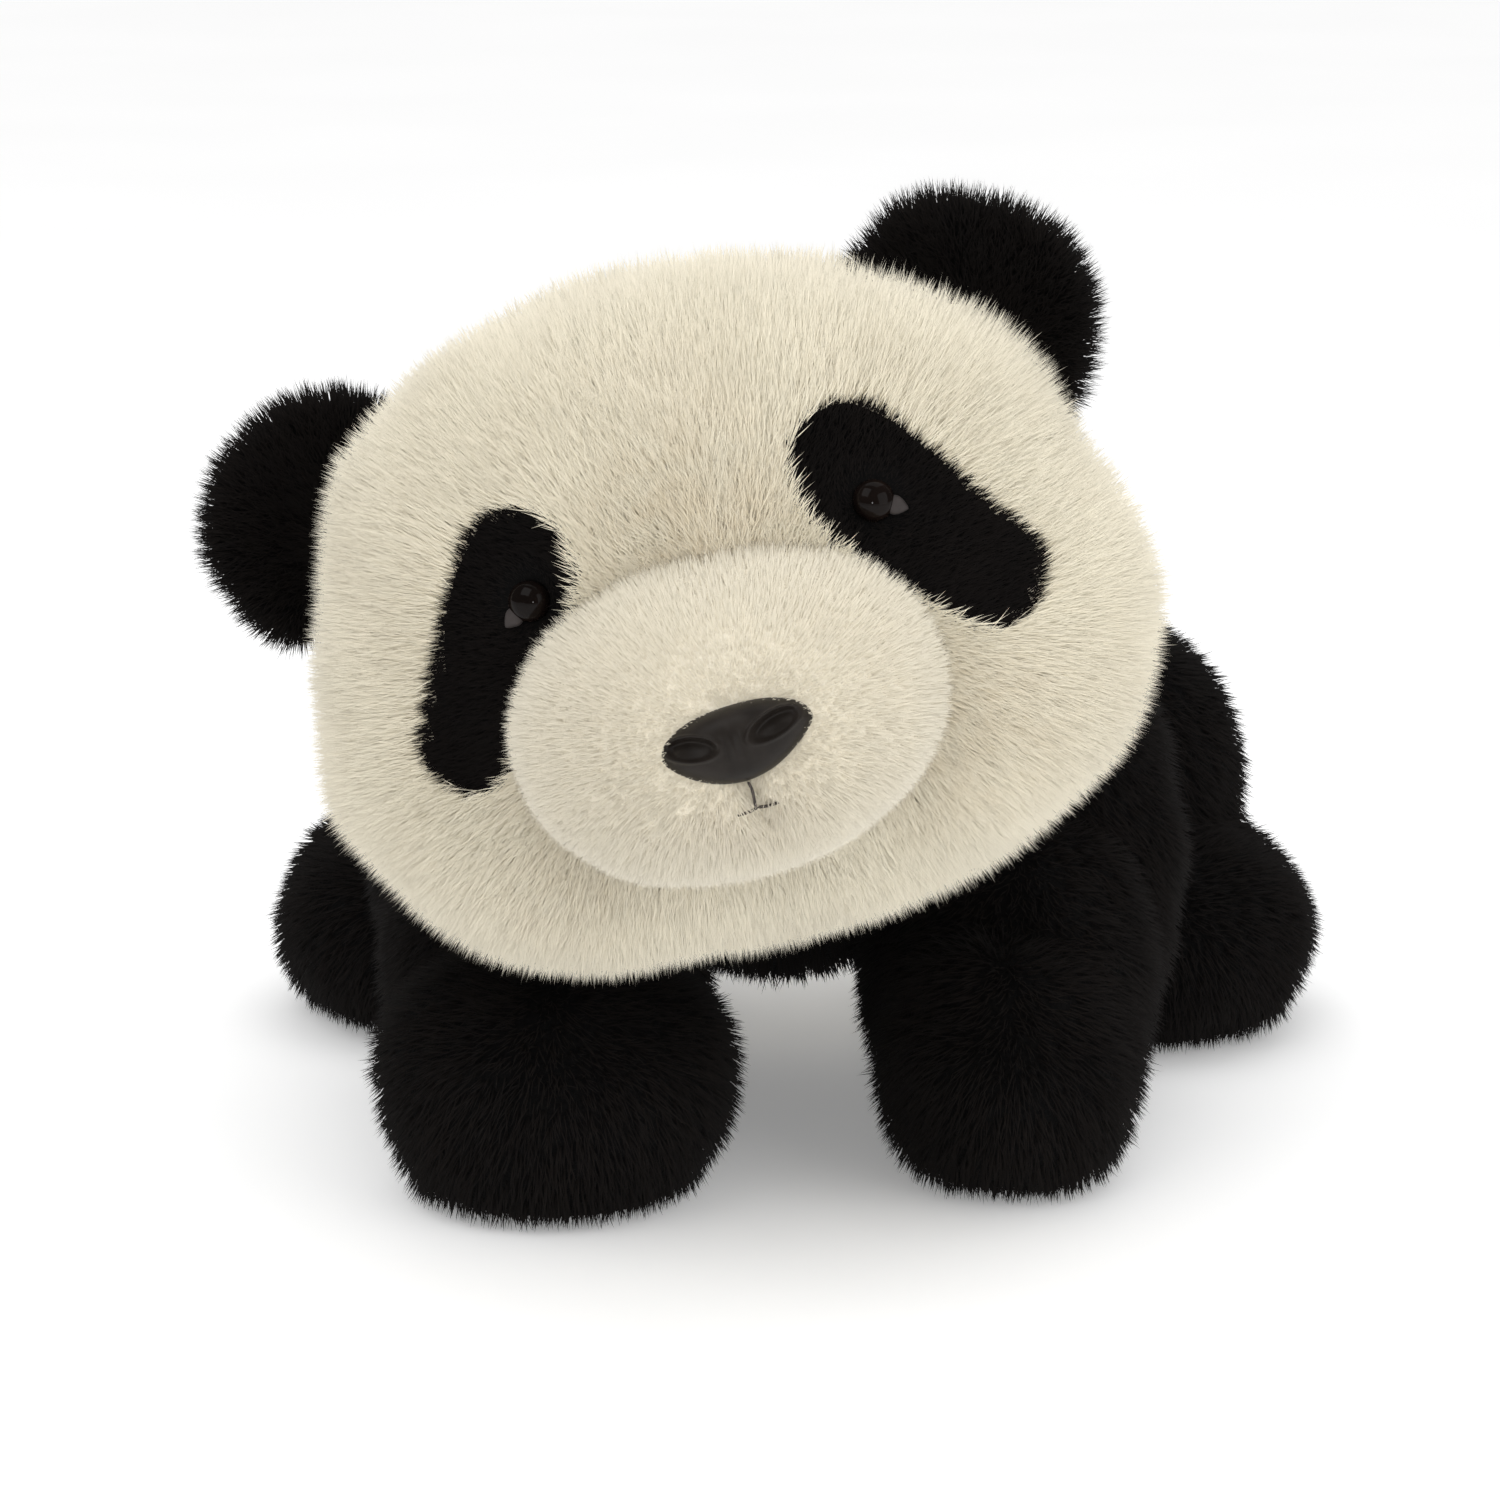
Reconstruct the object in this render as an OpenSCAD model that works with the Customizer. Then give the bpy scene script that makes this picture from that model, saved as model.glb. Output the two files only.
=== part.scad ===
// Plush panda standing on all fours, with its head tilted to its right.
// Frame: the face looks along -Y, +X is the toy's left, +Z is up, and the feet stand on z = 0.

/* [Head] */
// Half width of the head, skin to skin
head_half_w = 92; // [88:1:98]
// Half height of the head
head_half_h = 71; // [66:1:76]
// Depth of the face in front of the ears
face_depth = 68; // [64:1:80]
// Depth of the back of the head behind the ears
nape_depth = 56; // [52:1:60]
// Height of the head's centre above the floor
head_z = 150; // [148:1:180]
// Distance of the head's centre in front of the body's middle
head_y = 78; // [76:1:90]
// How far the head's centre leans to the toy's right
head_lean = 4; // [0:1:12]
// Head tilt: the toy's left ear is the higher one
head_roll = 18; // [0:1:24]
// Head turn to the toy's right; below zero it turns to its left
head_turn = -2; // [-6:1:10]
// Face looks up by this angle
head_lift = 0; // [-4:1:8]

/* [Muzzle and nose] */
// Half width of the muzzle
muzzle_half_w = 50; // [42:1:54]
// Half height of the muzzle
muzzle_half_h = 38; // [32:1:42]
// How far the muzzle stands out of the face
muzzle_reach = 36; // [28:1:44]
// Height of the muzzle's centre from the head's centre
muzzle_z = -11; // [-16:1:-8]
// Width of the moulded nose
nose_w = 38; // [30:1:42]
// Height of the moulded nose
nose_h = 23; // [18:1:26]
// Thickness of the moulded nose
nose_t = 9; // [7:1:11]

/* [Eyes] */
// Diameter of the eye dome
eye_d = 12; // [9:0.5:14]
// Distance of each eye from the middle of the face
eye_x = 40; // [38:0.5:44]
// Height of the eyes from the head's centre
eye_z = 24; // [18:1:28]
// Diameter of the shanks behind the eyes and the nose
shank_d = 5; // [4:0.5:6]
// Diameter of the lock washers
washer_d = 16; // [14:1:18]

/* [Ears] */
// Radius of an ear
ear_r = 27; // [22:1:32]
// Thickness of an ear's two layers together
ear_t = 11; // [9:1:14]
// Distance of each ear's centre from the middle of the head
ear_x = 77; // [74:1:84]
// Height of each ear's centre from the head's centre
ear_z = 44; // [42:1:54]

/* [Body] */
// Half width of the torso
torso_half_w = 66; // [60:1:74]
// Half height of the torso
torso_half_h = 68; // [60:1:72]
// Half length of the torso
torso_half_l = 96; // [90:1:100]
// Height of the torso's middle above the floor
torso_z = 106; // [102:1:112]
// Thickness of the pile fabric's backing
skin_t = 2; // [1.5:0.5:3]
// Radius of the soft neck's sleeve
neck_r = 35; // [30:1:36]

/* [Legs] */
// Radius of a foreleg at the shoulder
arm_r = 39; // [34:1:40]
// Height of a foreleg's top
arm_h = 128; // [116:1:130]
// Distance of a foreleg's axis from the body's middle plane
arm_x = 60; // [58:1:64]
// Radius of a hind leg's thigh
thigh_r = 41; // [36:1:43]
// Height of a hind leg's top
thigh_h = 110; // [100:1:116]
// Distance of a hind leg's axis from the body's middle plane
thigh_x = 84; // [82:1:90]
// Thickness of a foot's sole
sole_t = 2; // [1.5:0.5:3]
// Height of the pellet bag in each foot
pellet_h = 13; // [8:1:18]

/* [Tail] */
// Radius of the tail
tail_r = 17; // [12:1:20]

/* [Clearances] */
// Gap between pieces that move on each other
joint_gap = 0.6; // [0.5:0.1:1]
// Gap between a skin and its stuffing
fill_gap = 0.1; // [0.1:0.05:0.3]

/* [Hidden] */

$fn = 64;
BLACK = [0.05, 0.05, 0.05];
CREAM = [0.93, 0.89, 0.79];
FILL = [0.95, 0.95, 0.95];
LEFT = 1;
RIGHT = -1;
BIG = 600;

soft_around = 28;     // facets round a soft form
soft_along = 14;      // facets from pole to pole
soft_e = 2.3;         // fullness of a soft form: 2 is an ellipsoid, more is boxier

head_size = [head_half_w, face_depth, nape_depth, head_half_h];
neck_in_head = [0, nape_depth - 6, -28];
muzzle_depth = 56;
muzzle_y = muzzle_depth - face_depth - muzzle_reach;
muzzle_tip_y = muzzle_y - muzzle_depth;
nose_z = muzzle_z + 1;

patch_top = [37.5, 31.5]; // centre of an eye patch's upper round, seen from the front
patch_mid = [46, 18];
patch_low = [60, -2];     // centre of its lower round
patch_top_r = 12.5;
patch_mid_r = 12.5;
patch_low_r = 10;
patch_t = 1.6;
washer_drop = 7;          // depth of the lock washers under the surface
ear_y = 6;
ear_shift = 5;            // both ears sit this much to the toy's right of the head's middle
eye_shift = 2;            // both eyes sit this much to its left
ear_tilt = 32;            // an ear leans out from the head's middle plane

torso_y = 85;
torso_size = [torso_half_w, torso_half_l, torso_half_l, torso_half_h];
band_y = 71;              // the seam between the black shoulders and the cream back
arm_y = 29;
arm_mid_z = 60;
paw_left = [61, -32, 29];
paw_right = [48, -52, 29];
paw_left_size = [32, 43, 36];
paw_right_size = [40, 43, 36];
arm_swing_r = arm_r + 14; // room that the torso leaves for a foreleg as it turns
arm_swing_h = 82;
thigh_y = 133;
thigh_mid_z = 62;
foot_at = [99, 114, 26];
foot_size = [40, 53, 36];
foot_room_r = 54;
tail_at = [0, torso_y + torso_half_l - 4, 112];
tail_w = tail_r * 0.7;
tail_reach = 6;

// ---- soft forms ----

function fullness(a, e) = sign(a) * pow(abs(a), 2 / e);

// A point of a closed pillow form, at a bearing and a height angle
function pillow_point(s, bearing, rise, e) =
    let (c = fullness(cos(rise), e),
         x = fullness(cos(bearing), e),
         y = fullness(sin(bearing), e))
    [s[0] * c * x, (y < 0 ? s[1] : s[2]) * c * y, s[3] * fullness(sin(rise), e)];

// A closed pillow: half width, front depth, back depth and half height. narrow tapers it downwards
module pillow(s, e = soft_e, around = soft_around, along = soft_along, narrow = 0) {
    rings = [for (i = [1 : along - 1], j = [0 : around - 1])
        let (p = pillow_point(s, 360 * j / around, -90 + 180 * i / along, e))
        [p[0] * (1 + narrow * p[2] / s[3]), p[1], p[2]]];
    low = len(rings);
    top = low + 1;
    points = concat(rings, [[0, 0, -s[3]], [0, 0, s[3]]]);
    function at(i, j) = i * around + j % around;
    sides = [for (i = [0 : along - 3], j = [0 : around - 1]) each [
        [at(i, j), at(i + 1, j), at(i + 1, j + 1)],
        [at(i, j), at(i + 1, j + 1), at(i, j + 1)]]];
    caps = [for (j = [0 : around - 1]) each [
        [low, at(0, j), at(0, j + 1)],
        [top, at(along - 2, j + 1), at(along - 2, j)]]];
    polyhedron(points, concat(sides, caps));
}

// A pillow's sizes, grown on all sides
function grown(s, by) = [for (v = s) v + by];

// An egg that is round about Z, as a true surface of revolution
module egg(r, half_h, steps = 18) {
    rotate_extrude()
        polygon([for (i = [0 : steps]) let (a = -90 + 180 * i / steps)
            [max(0, r * cos(a)), half_h * sin(a)]]);
}

module above(z) {
    translate([-BIG / 2, -BIG / 2, z]) cube([BIG, BIG, BIG]);
}

// ---- head ----

module in_head() {
    translate([-head_lean, -head_y, head_z])
        rotate([-head_lift, 0, -head_turn])
            rotate([0, -head_roll, 0])
                children();
}

// Depth of the head's surface at a place on the face, and its outward direction
function face_y(x, z) = -face_depth
    * pow(1 - pow(abs(x) / head_half_w, soft_e) - pow(abs(z) / head_half_h, soft_e), 1 / soft_e);
function slope(a, half) = sign(a) * pow(abs(a) / half, soft_e - 1) / half;
function face_out(x, z) =
    let (v = [slope(x, head_half_w), slope(face_y(x, z), face_depth), slope(z, head_half_h)])
    v / norm(v);

// Puts a piece on the face with its +Z pointing outwards
module on_face(x, z, lift = 0) {
    n = face_out(x, z);
    translate([x, face_y(x, z), z] + n * lift)
        rotate([0, acos(n[2]), atan2(n[1], n[0])])
            children();
}

module muzzle_form(by) {
    translate([0, muzzle_y, muzzle_z])
        pillow([muzzle_half_w + by, muzzle_depth + by, muzzle_depth + by, muzzle_half_h + by],
            e = 2.1, around = 28, along = 14);
}

module neck_room() {
    translate(neck_in_head) sphere(r = neck_r + joint_gap);
}

module eye_shank_room(side) {
    on_face(side * eye_x + eye_shift, eye_z, -16) cylinder(d = shank_d + 0.2, h = 30);
}

module head_skin() {
    color(CREAM) in_head() difference() {
        pillow(head_size);
        pillow(grown(head_size, -skin_t));
        muzzle_form(-skin_t);
        neck_room();
        eye_shank_room(LEFT);
        eye_shank_room(RIGHT);
    }
}

module eye_washer_room(side) {
    on_face(side * eye_x + eye_shift, eye_z, -washer_drop - 1) cylinder(d = washer_d + 1, h = washer_drop + 2);
}

module head_stuffing() {
    color(FILL) in_head() difference() {
        pillow(grown(head_size, -skin_t - fill_gap));
        neck_room();
        for (side = [LEFT, RIGHT]) {
            eye_shank_room(side);
            eye_washer_room(side);
        }
    }
}

module muzzle_skin() {
    color(CREAM) in_head() difference() {
        muzzle_form(0);
        muzzle_form(-skin_t);
        pillow(grown(head_size, fill_gap));
        nose_shank_room();
    }
}

module nose_shank_room() {
    translate([0, muzzle_tip_y - 4, nose_z]) rotate([-90, 0, 0])
        cylinder(d = shank_d + 0.2, h = 20);
}

module nose_washer_room() {
    translate([0, muzzle_tip_y - 4, nose_z]) rotate([-90, 0, 0])
        cylinder(d = washer_d + 1, h = washer_drop + 8);
}

module muzzle_stuffing() {
    color(FILL) in_head() difference() {
        muzzle_form(-skin_t - fill_gap);
        pillow(grown(head_size, fill_gap));
        nose_shank_room();
        nose_washer_room();
    }
}

module patch_outline() {
    hull() {
        translate(patch_top) circle(r = patch_top_r);
        translate(patch_mid) circle(r = patch_mid_r);
    }
    hull() {
        translate(patch_mid) circle(r = patch_mid_r);
        translate(patch_low) circle(r = patch_low_r);
    }
}

module eye_patch(side) {
    color(BLACK) in_head() difference() {
        intersection() {
            pillow(grown(head_size, patch_t));
            scale([side, 1, 1]) rotate([90, 0, 0]) linear_extrude(face_depth + 10)
                patch_outline();
        }
        pillow(grown(head_size, fill_gap));
        muzzle_form(fill_gap);
        eye_shank_room(side);
        on_face(side * eye_x + eye_shift, eye_z, -4) cylinder(d = eye_d + 1, h = 12);
        corner_place(side) corner_block(0.3);
    }
}

// The eye is one moulding: a dome on a rim, with a ribbed shank behind it
module eye(side) {
    color(BLACK) in_head() on_face(side * eye_x + eye_shift, eye_z, fill_gap) {
        rotate_extrude() polygon(concat(
            [[0, 0]],
            [for (i = [0 : 8]) [eye_d / 2 * cos(90 * i / 8), 0.8 + eye_d * 0.36 * sin(90 * i / 8)]],
            [[0, 0.8 + eye_d * 0.36]]));
        translate([0, 0, -11]) cylinder(d = shank_d, h = 11.2);
    }
}

module corner_place(side) {
    on_face(side * (eye_x + eye_d / 2 + 2.6) + eye_shift, eye_z - 2.5, 0) children();
}

module corner_block(by) {
    translate([0, 0, -0.5]) cylinder(r = 2 + by, h = 3);
}

// The pale moulded corner beside the dome
module eye_corner(side) {
    color([0.75, 0.72, 0.7]) in_head() corner_place(side)
        translate([0, 0, fill_gap]) cylinder(r = 2, h = 2);
}

module washer() {
    difference() {
        cylinder(d = washer_d, h = 1.6);
        translate([0, 0, -1]) cylinder(d = shank_d + 0.1, h = 4);
    }
}

module eye_washer(side) {
    color(FILL) in_head() on_face(side * eye_x + eye_shift, eye_z, -washer_drop) washer();
}

// The nose is one moulding: a wide top, a narrow bottom, two dimples and a shank behind
module nose() {
    color(BLACK) in_head() translate([0, muzzle_tip_y, nose_z]) {
        difference() {
            pillow([nose_w / 2, nose_t, nose_t, nose_h / 2], around = 24, along = 12, narrow = 0.3);
            translate([-BIG / 2, -1, -BIG / 2]) cube(BIG);
            for (side = [LEFT, RIGHT])
                translate([side * 8.5, -nose_t - 1.5, 1]) sphere(r = 3.5, $fn = 24);
        }
        translate([0, -3, 0]) rotate([-90, 0, 0]) cylinder(d = shank_d, h = 16);
    }
}

module nose_washer() {
    color(FILL) in_head() translate([0, muzzle_tip_y + washer_drop - 1, nose_z])
        rotate([-90, 0, 0]) washer();
}

// Three strands of thread that lie on the muzzle under the nose
module mouth_stitch() {
    thread_r = 0.6;
    function muzzle_front(x, z) = muzzle_y - muzzle_depth
        * sqrt(1 - pow(x / muzzle_half_w, 2) - pow((z - muzzle_z) / muzzle_half_h, 2)) - 2.2;
    fork = [0, muzzle_front(0, nose_z - 21), nose_z - 21];
    root = [0, muzzle_front(0, nose_z - 13.5), nose_z - 13.5];
    ends = [for (side = [LEFT, RIGHT])
        [side * 9, muzzle_front(side * 9, nose_z - 24), nose_z - 24]];
    color([0.2, 0.18, 0.16]) in_head() for (tip = concat([root], ends))
        hull() {
            translate(fork) sphere(r = thread_r, $fn = 8);
            translate(tip) sphere(r = thread_r, $fn = 8);
        }
}

// ---- ears ----

// An ear's frame: its base on the head's side, its +Z pointing away from the head
module in_ear(side) {
    translate([side * ear_x - ear_shift, ear_y, ear_z]) rotate([0, side * ear_tilt, 0]) children();
}

module ear_form(side) {
    difference() {
        in_ear(side) pillow([ear_r, ear_t / 2, ear_t / 2, ear_r], e = 2.2, around = 24, along = 12);
        pillow(grown(head_size, 2.4));
    }
}

module ear_front(side) {
    color(BLACK) in_head() intersection() {
        ear_form(side);
        translate([-BIG / 2, -BIG / 2, -BIG / 2]) cube([BIG, BIG / 2 + ear_y - fill_gap / 2, BIG]);
    }
}

module ear_back(side) {
    color(BLACK) in_head() intersection() {
        ear_form(side);
        translate([-BIG / 2, ear_y + fill_gap / 2, -BIG / 2]) cube([BIG, BIG / 2, BIG]);
    }
}

// ---- neck ----

module neck_sleeve() {
    reach = asin(22 / neck_r);
    outside = [for (i = [0 : 12]) let (a = reach * (i / 6 - 1)) neck_r * [cos(a), sin(a)]];
    inside = [for (i = [12 : -1 : 0]) let (a = reach * (i / 6 - 1))
        (neck_r - skin_t) * [cos(a), sin(a)]];
    color(BLACK) in_head() translate(neck_in_head) rotate([90, 0, 0])
        rotate_extrude() polygon(concat(outside, inside));
}

module neck_stuffing() {
    color(FILL) in_head() translate(neck_in_head) sphere(r = neck_r - skin_t - joint_gap);
}

// ---- torso ----

// Room for a foreleg, which turns about its own upright axis
module arm_room(side) {
    translate([side * arm_x, arm_y, -1]) {
        cylinder(r = arm_swing_r, h = arm_swing_h + 1);
        translate([0, 0, arm_swing_h]) cylinder(r1 = arm_swing_r, r2 = arm_r - 9, h = 42);
    }
    translate([side * arm_x, arm_y, arm_mid_z])
        egg(arm_r + joint_gap, arm_h - arm_mid_z + joint_gap);
}

module thigh_room(side) {
    translate([side * thigh_x, thigh_y, -1]) cylinder(r = foot_room_r, h = 66);
    translate([side * thigh_x, thigh_y, thigh_mid_z])
        egg(thigh_r + joint_gap, thigh_h - thigh_mid_z + joint_gap);
}

module torso_form(by) {
    difference() {
        translate([0, torso_y, torso_z]) pillow(grown(torso_size, by));
        for (side = [LEFT, RIGHT]) {
            arm_room(side);
            thigh_room(side);
        }
        in_head() neck_room();
        in_tail() tail_seat();
    }
}

module torso_shell() {
    difference() {
        torso_form(0);
        translate([0, torso_y, torso_z]) pillow(grown(torso_size, -skin_t));
    }
}

module shoulder_skin() {
    color(BLACK) intersection() {
        torso_shell();
        translate([-BIG / 2, band_y - BIG, -BIG / 2]) cube(BIG);
    }
}

module back_skin() {
    color(CREAM) intersection() {
        torso_shell();
        translate([-BIG / 2, band_y + fill_gap, -BIG / 2]) cube(BIG);
    }
}

module torso_stuffing() {
    color(FILL) torso_form(-skin_t - fill_gap);
}

// A ladder stitch that closes the belly after filling
module closing_seam() {
    stitches = 9;
    pitch = 4.5;
    thread_r = 0.5;
    color([0.9, 0.86, 0.76])
        for (i = [0 : stitches - 1])
            translate([0, torso_y + (i - (stitches - 1) / 2) * pitch,
                torso_z - torso_half_h - thread_r - fill_gap])
                rotate([0, 90, 0]) cylinder(r = thread_r, h = 5, center = true, $fn = 16);
}

// ---- legs ----

function paw_at(side) = side > 0 ? paw_left : [-paw_right[0], paw_right[1], paw_right[2]];
function paw_size(side) = side > 0 ? paw_left_size : paw_right_size;

module foreleg_form(side, by) {
    hull() {
        translate([side * arm_x, arm_y, arm_mid_z])
            scale([arm_r + by, arm_r + by, arm_h - arm_mid_z + by]) sphere(r = 1, $fn = 32);
        translate(paw_at(side)) scale(grown(paw_size(side), by)) sphere(r = 1, $fn = 32);
    }
}

// The seam opening at a leg's top, on the side of the torso
module arm_hole(side) {
    translate([side * arm_x, arm_y, arm_mid_z + 22]) rotate([0, side * -90, 0])
        cylinder(r = 14, h = arm_r + 5);
}

module hindleg_form(side, by) {
    translate([side * thigh_x, thigh_y, thigh_mid_z])
        scale([thigh_r + by, thigh_r + by, thigh_h - thigh_mid_z + by]) sphere(r = 1, $fn = 32);
    translate([side * foot_at[0], foot_at[1], foot_at[2]])
        scale(grown(foot_size, by)) sphere(r = 1, $fn = 32);
}

module thigh_hole(side) {
    translate([side * thigh_x, thigh_y, thigh_mid_z + 14]) rotate([0, side * -90, 0])
        cylinder(r = 14, h = thigh_r + 5);
}

module foreleg_skin(side) {
    color(BLACK) intersection() {
        difference() {
            foreleg_form(side, 0);
            foreleg_form(side, -skin_t);
            arm_hole(side);
        }
        above(sole_t);
    }
}

module hindleg_skin(side) {
    color(BLACK) intersection() {
        difference() {
            hindleg_form(side, 0);
            hindleg_form(side, -skin_t);
            thigh_hole(side);
        }
        above(sole_t);
    }
}

module foreleg_stuffing(side) {
    color(FILL) intersection() {
        foreleg_form(side, -skin_t - fill_gap);
        above(sole_t + pellet_h + fill_gap);
    }
}

module hindleg_stuffing(side) {
    color(FILL) intersection() {
        hindleg_form(side, -skin_t - fill_gap);
        above(sole_t + pellet_h + fill_gap);
    }
}

function ellipse(at, half) = [for (i = [0 : 39])
    [at[0] + half[0] * cos(9 * i), at[1] + half[1] * sin(9 * i)]];

// A foot's flat outline, just inside the skin's lower edge
module foreleg_print(side, by) {
    paw = paw_at(side);
    size = paw_size(side);
    paw_share = sqrt(1 - pow(paw[2] / size[2], 2));
    arm_share = sqrt(1 - pow(arm_mid_z / (arm_h - arm_mid_z), 2));
    hull() {
        polygon(ellipse(paw, [size[0] * paw_share + by, size[1] * paw_share + by]));
        polygon(ellipse([side * arm_x, arm_y], [arm_r * arm_share + by, arm_r * arm_share + by]));
    }
}

module hindleg_print(side, by) {
    share = sqrt(1 - pow(foot_at[2] / foot_size[2], 2));
    polygon(ellipse([side * foot_at[0], foot_at[1]],
        [foot_size[0] * share + by, foot_size[1] * share + by]));
}

module foreleg_sole(side) {
    color(BLACK) linear_extrude(sole_t) foreleg_print(side, 0);
}

module hindleg_sole(side) {
    color(BLACK) linear_extrude(sole_t) hindleg_print(side, 0);
}

module foreleg_pellets(side) {
    color([0.8, 0.8, 0.85]) translate([0, 0, sole_t]) linear_extrude(pellet_h)
        foreleg_print(side, -skin_t - 1.5);
}

module hindleg_pellets(side) {
    color([0.8, 0.8, 0.85]) translate([0, 0, sole_t]) linear_extrude(pellet_h)
        hindleg_print(side, -skin_t - 1.5);
}

// ---- tail ----

module in_tail() {
    translate(tail_at) children();
}

// The tail turns about an upright axis in a round seat
module tail_seat() {
    translate([0, 0, -tail_r - 5]) cylinder(r = tail_w + 2 * joint_gap, h = 2 * tail_r + 10);
}

module tail_form(by) {
    hull() {
        scale([tail_w + by, tail_w + by, tail_r + by]) sphere(r = 1, $fn = 24);
        translate([0, tail_reach, 0])
            scale([tail_w + by, tail_w + by, tail_r + by]) sphere(r = 1, $fn = 24);
    }
}

module tail_skin() {
    color(CREAM) in_tail() difference() {
        tail_form(0);
        tail_form(-skin_t);
        translate([0, -3, 0]) rotate([90, 0, 0]) cylinder(r = 5, h = tail_r);
    }
}

module tail_stuffing() {
    color(FILL) in_tail() tail_form(-skin_t - fill_gap);
}

head_skin();
head_stuffing();
muzzle_skin();
muzzle_stuffing();
eye_patch(LEFT);  // eye_patch_left
eye_patch(RIGHT);  // eye_patch_right
eye(LEFT);  // eye_left
eye(RIGHT);  // eye_right
eye_corner(LEFT);  // eye_corner_left
eye_corner(RIGHT);  // eye_corner_right
eye_washer(LEFT);  // eye_washer_left
eye_washer(RIGHT);  // eye_washer_right
nose();
nose_washer();
mouth_stitch();
ear_front(LEFT);  // ear_left_front
ear_back(LEFT);  // ear_left_back
ear_front(RIGHT);  // ear_right_front
ear_back(RIGHT);  // ear_right_back
neck_sleeve();
neck_stuffing();
shoulder_skin();
back_skin();
torso_stuffing();
closing_seam();
foreleg_skin(LEFT);  // foreleg_left_skin
foreleg_stuffing(LEFT);  // foreleg_left_stuffing
foreleg_sole(LEFT);  // foreleg_left_sole
foreleg_pellets(LEFT);  // foreleg_left_pellets
foreleg_skin(RIGHT);  // foreleg_right_skin
foreleg_stuffing(RIGHT);  // foreleg_right_stuffing
foreleg_sole(RIGHT);  // foreleg_right_sole
foreleg_pellets(RIGHT);  // foreleg_right_pellets
hindleg_skin(LEFT);  // hindleg_left_skin
hindleg_stuffing(LEFT);  // hindleg_left_stuffing
hindleg_sole(LEFT);  // hindleg_left_sole
hindleg_pellets(LEFT);  // hindleg_left_pellets
hindleg_skin(RIGHT);  // hindleg_right_skin
hindleg_stuffing(RIGHT);  // hindleg_right_stuffing
hindleg_sole(RIGHT);  // hindleg_right_sole
hindleg_pellets(RIGHT);  // hindleg_right_pellets
tail_skin();
tail_stuffing();
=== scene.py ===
"""Plush panda: covers, pile, face and stage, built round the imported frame."""
import math

import bpy
import numpy as np
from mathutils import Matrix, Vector


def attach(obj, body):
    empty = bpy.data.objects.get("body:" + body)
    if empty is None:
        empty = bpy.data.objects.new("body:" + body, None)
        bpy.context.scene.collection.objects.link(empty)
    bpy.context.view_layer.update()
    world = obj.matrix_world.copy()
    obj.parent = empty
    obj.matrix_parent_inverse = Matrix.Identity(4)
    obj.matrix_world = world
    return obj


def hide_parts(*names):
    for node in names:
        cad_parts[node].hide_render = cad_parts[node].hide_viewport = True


bl_info = {
    "name": "Plush Panda",
    "version": (1, 0, 0),
    "blender": (4, 5, 0),
    "location": "3D View > Sidebar > Panda",
    "description": "Builds the covers, pile, face and stage of a standing plush panda",
    "category": "Object",
}

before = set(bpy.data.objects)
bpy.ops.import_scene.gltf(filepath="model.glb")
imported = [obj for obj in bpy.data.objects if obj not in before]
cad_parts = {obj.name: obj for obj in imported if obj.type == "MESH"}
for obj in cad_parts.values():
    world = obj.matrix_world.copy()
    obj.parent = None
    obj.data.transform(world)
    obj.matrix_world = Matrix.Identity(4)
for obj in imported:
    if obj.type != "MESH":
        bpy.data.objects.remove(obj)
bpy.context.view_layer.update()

MM = 0.001
LEFT = 1
RIGHT = -1
SIDES = ((LEFT, "left"), (RIGHT, "right"))


# ---------------------------------------------------------------- settings

def length_setting(name, description, default):
    return bpy.props.FloatProperty(name=name, description=description, default=default, unit="LENGTH")


def colour_setting(name, description, default):
    return bpy.props.FloatVectorProperty(name=name, description=description, default=default,
                                         subtype="COLOR")


def angle_setting(name, description, degrees):
    return bpy.props.FloatProperty(name=name, description=description, default=math.radians(degrees),
                                   subtype="ANGLE")


class PandaHeadSizes(bpy.types.PropertyGroup):
    half_width: length_setting("Head half width", "Half width of the head's cover, without pile", 0.0920)
    half_height: length_setting("Head half height", "Half height of the head's cover", 0.0710)
    face_depth: length_setting("Face depth", "Depth of the head in front of the ears", 0.068)
    nape_depth: length_setting("Nape depth", "Depth of the head behind the ears", 0.056)
    eye_size: length_setting("Eye diameter", "Diameter of the glossy eye dome", 0.0092)
    nose_width: length_setting("Nose width", "Width of the moulded nose", 0.0345)
    ear_radius: length_setting("Ear radius", "Radius of an ear without its pile", 0.0255)


class PandaPile(bpy.types.PropertyGroup):
    coat_length: length_setting("Coat length", "Length of the cream pile on the head", 0.0102)
    muzzle_length: length_setting("Muzzle pile length", "Length of the short pile on the muzzle", 0.0040)
    patch_length: length_setting("Patch pile length", "Length of the black pile round the eyes", 0.0042)
    black_length: length_setting("Black pile length", "Length of the pile on legs and ears", 0.0070)
    density: bpy.props.FloatProperty(
        name="Density", description="Share of the full number of strands",
        default=1.0, min=0.05, max=1.5)


class PandaColours(bpy.types.PropertyGroup):
    cream: colour_setting("Cream", "Colour of the cream pile's tips", (0.93, 0.862, 0.688))
    # the root colour is darker than the tip's: painted shade deep in the pile
    cream_root_shade: colour_setting("Cream root", "Colour of the cream pile near the fabric", (0.88, 0.808, 0.63))
    tan: colour_setting("Tan", "Soft tan shading above and beside the muzzle", (0.78, 0.63, 0.42))
    black: colour_setting("Black", "Colour of the black pile's tips", (0.0085, 0.0074, 0.0070))
    # the root colour is darker than the tip's: painted shade deep in the pile
    black_root_shade: colour_setting("Black root", "Colour of the black pile near the fabric",
                               (0.0026, 0.0023, 0.0022))


class PandaStage(bpy.types.PropertyGroup):
    distance: length_setting("Camera distance", "Distance of the camera from the toy's middle", 1.2)
    tilt: angle_setting("Camera tilt", "How far the camera looks down", 12.5)
    turn: angle_setting("Camera turn", "How far the camera stands towards the toy's left", 3.5)
    lens: bpy.props.FloatProperty(name="Lens", description="Focal length in millimetres", default=115.2)
    light: bpy.props.FloatProperty(name="Light", description="Strength of the studio light", default=1.0)


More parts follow.
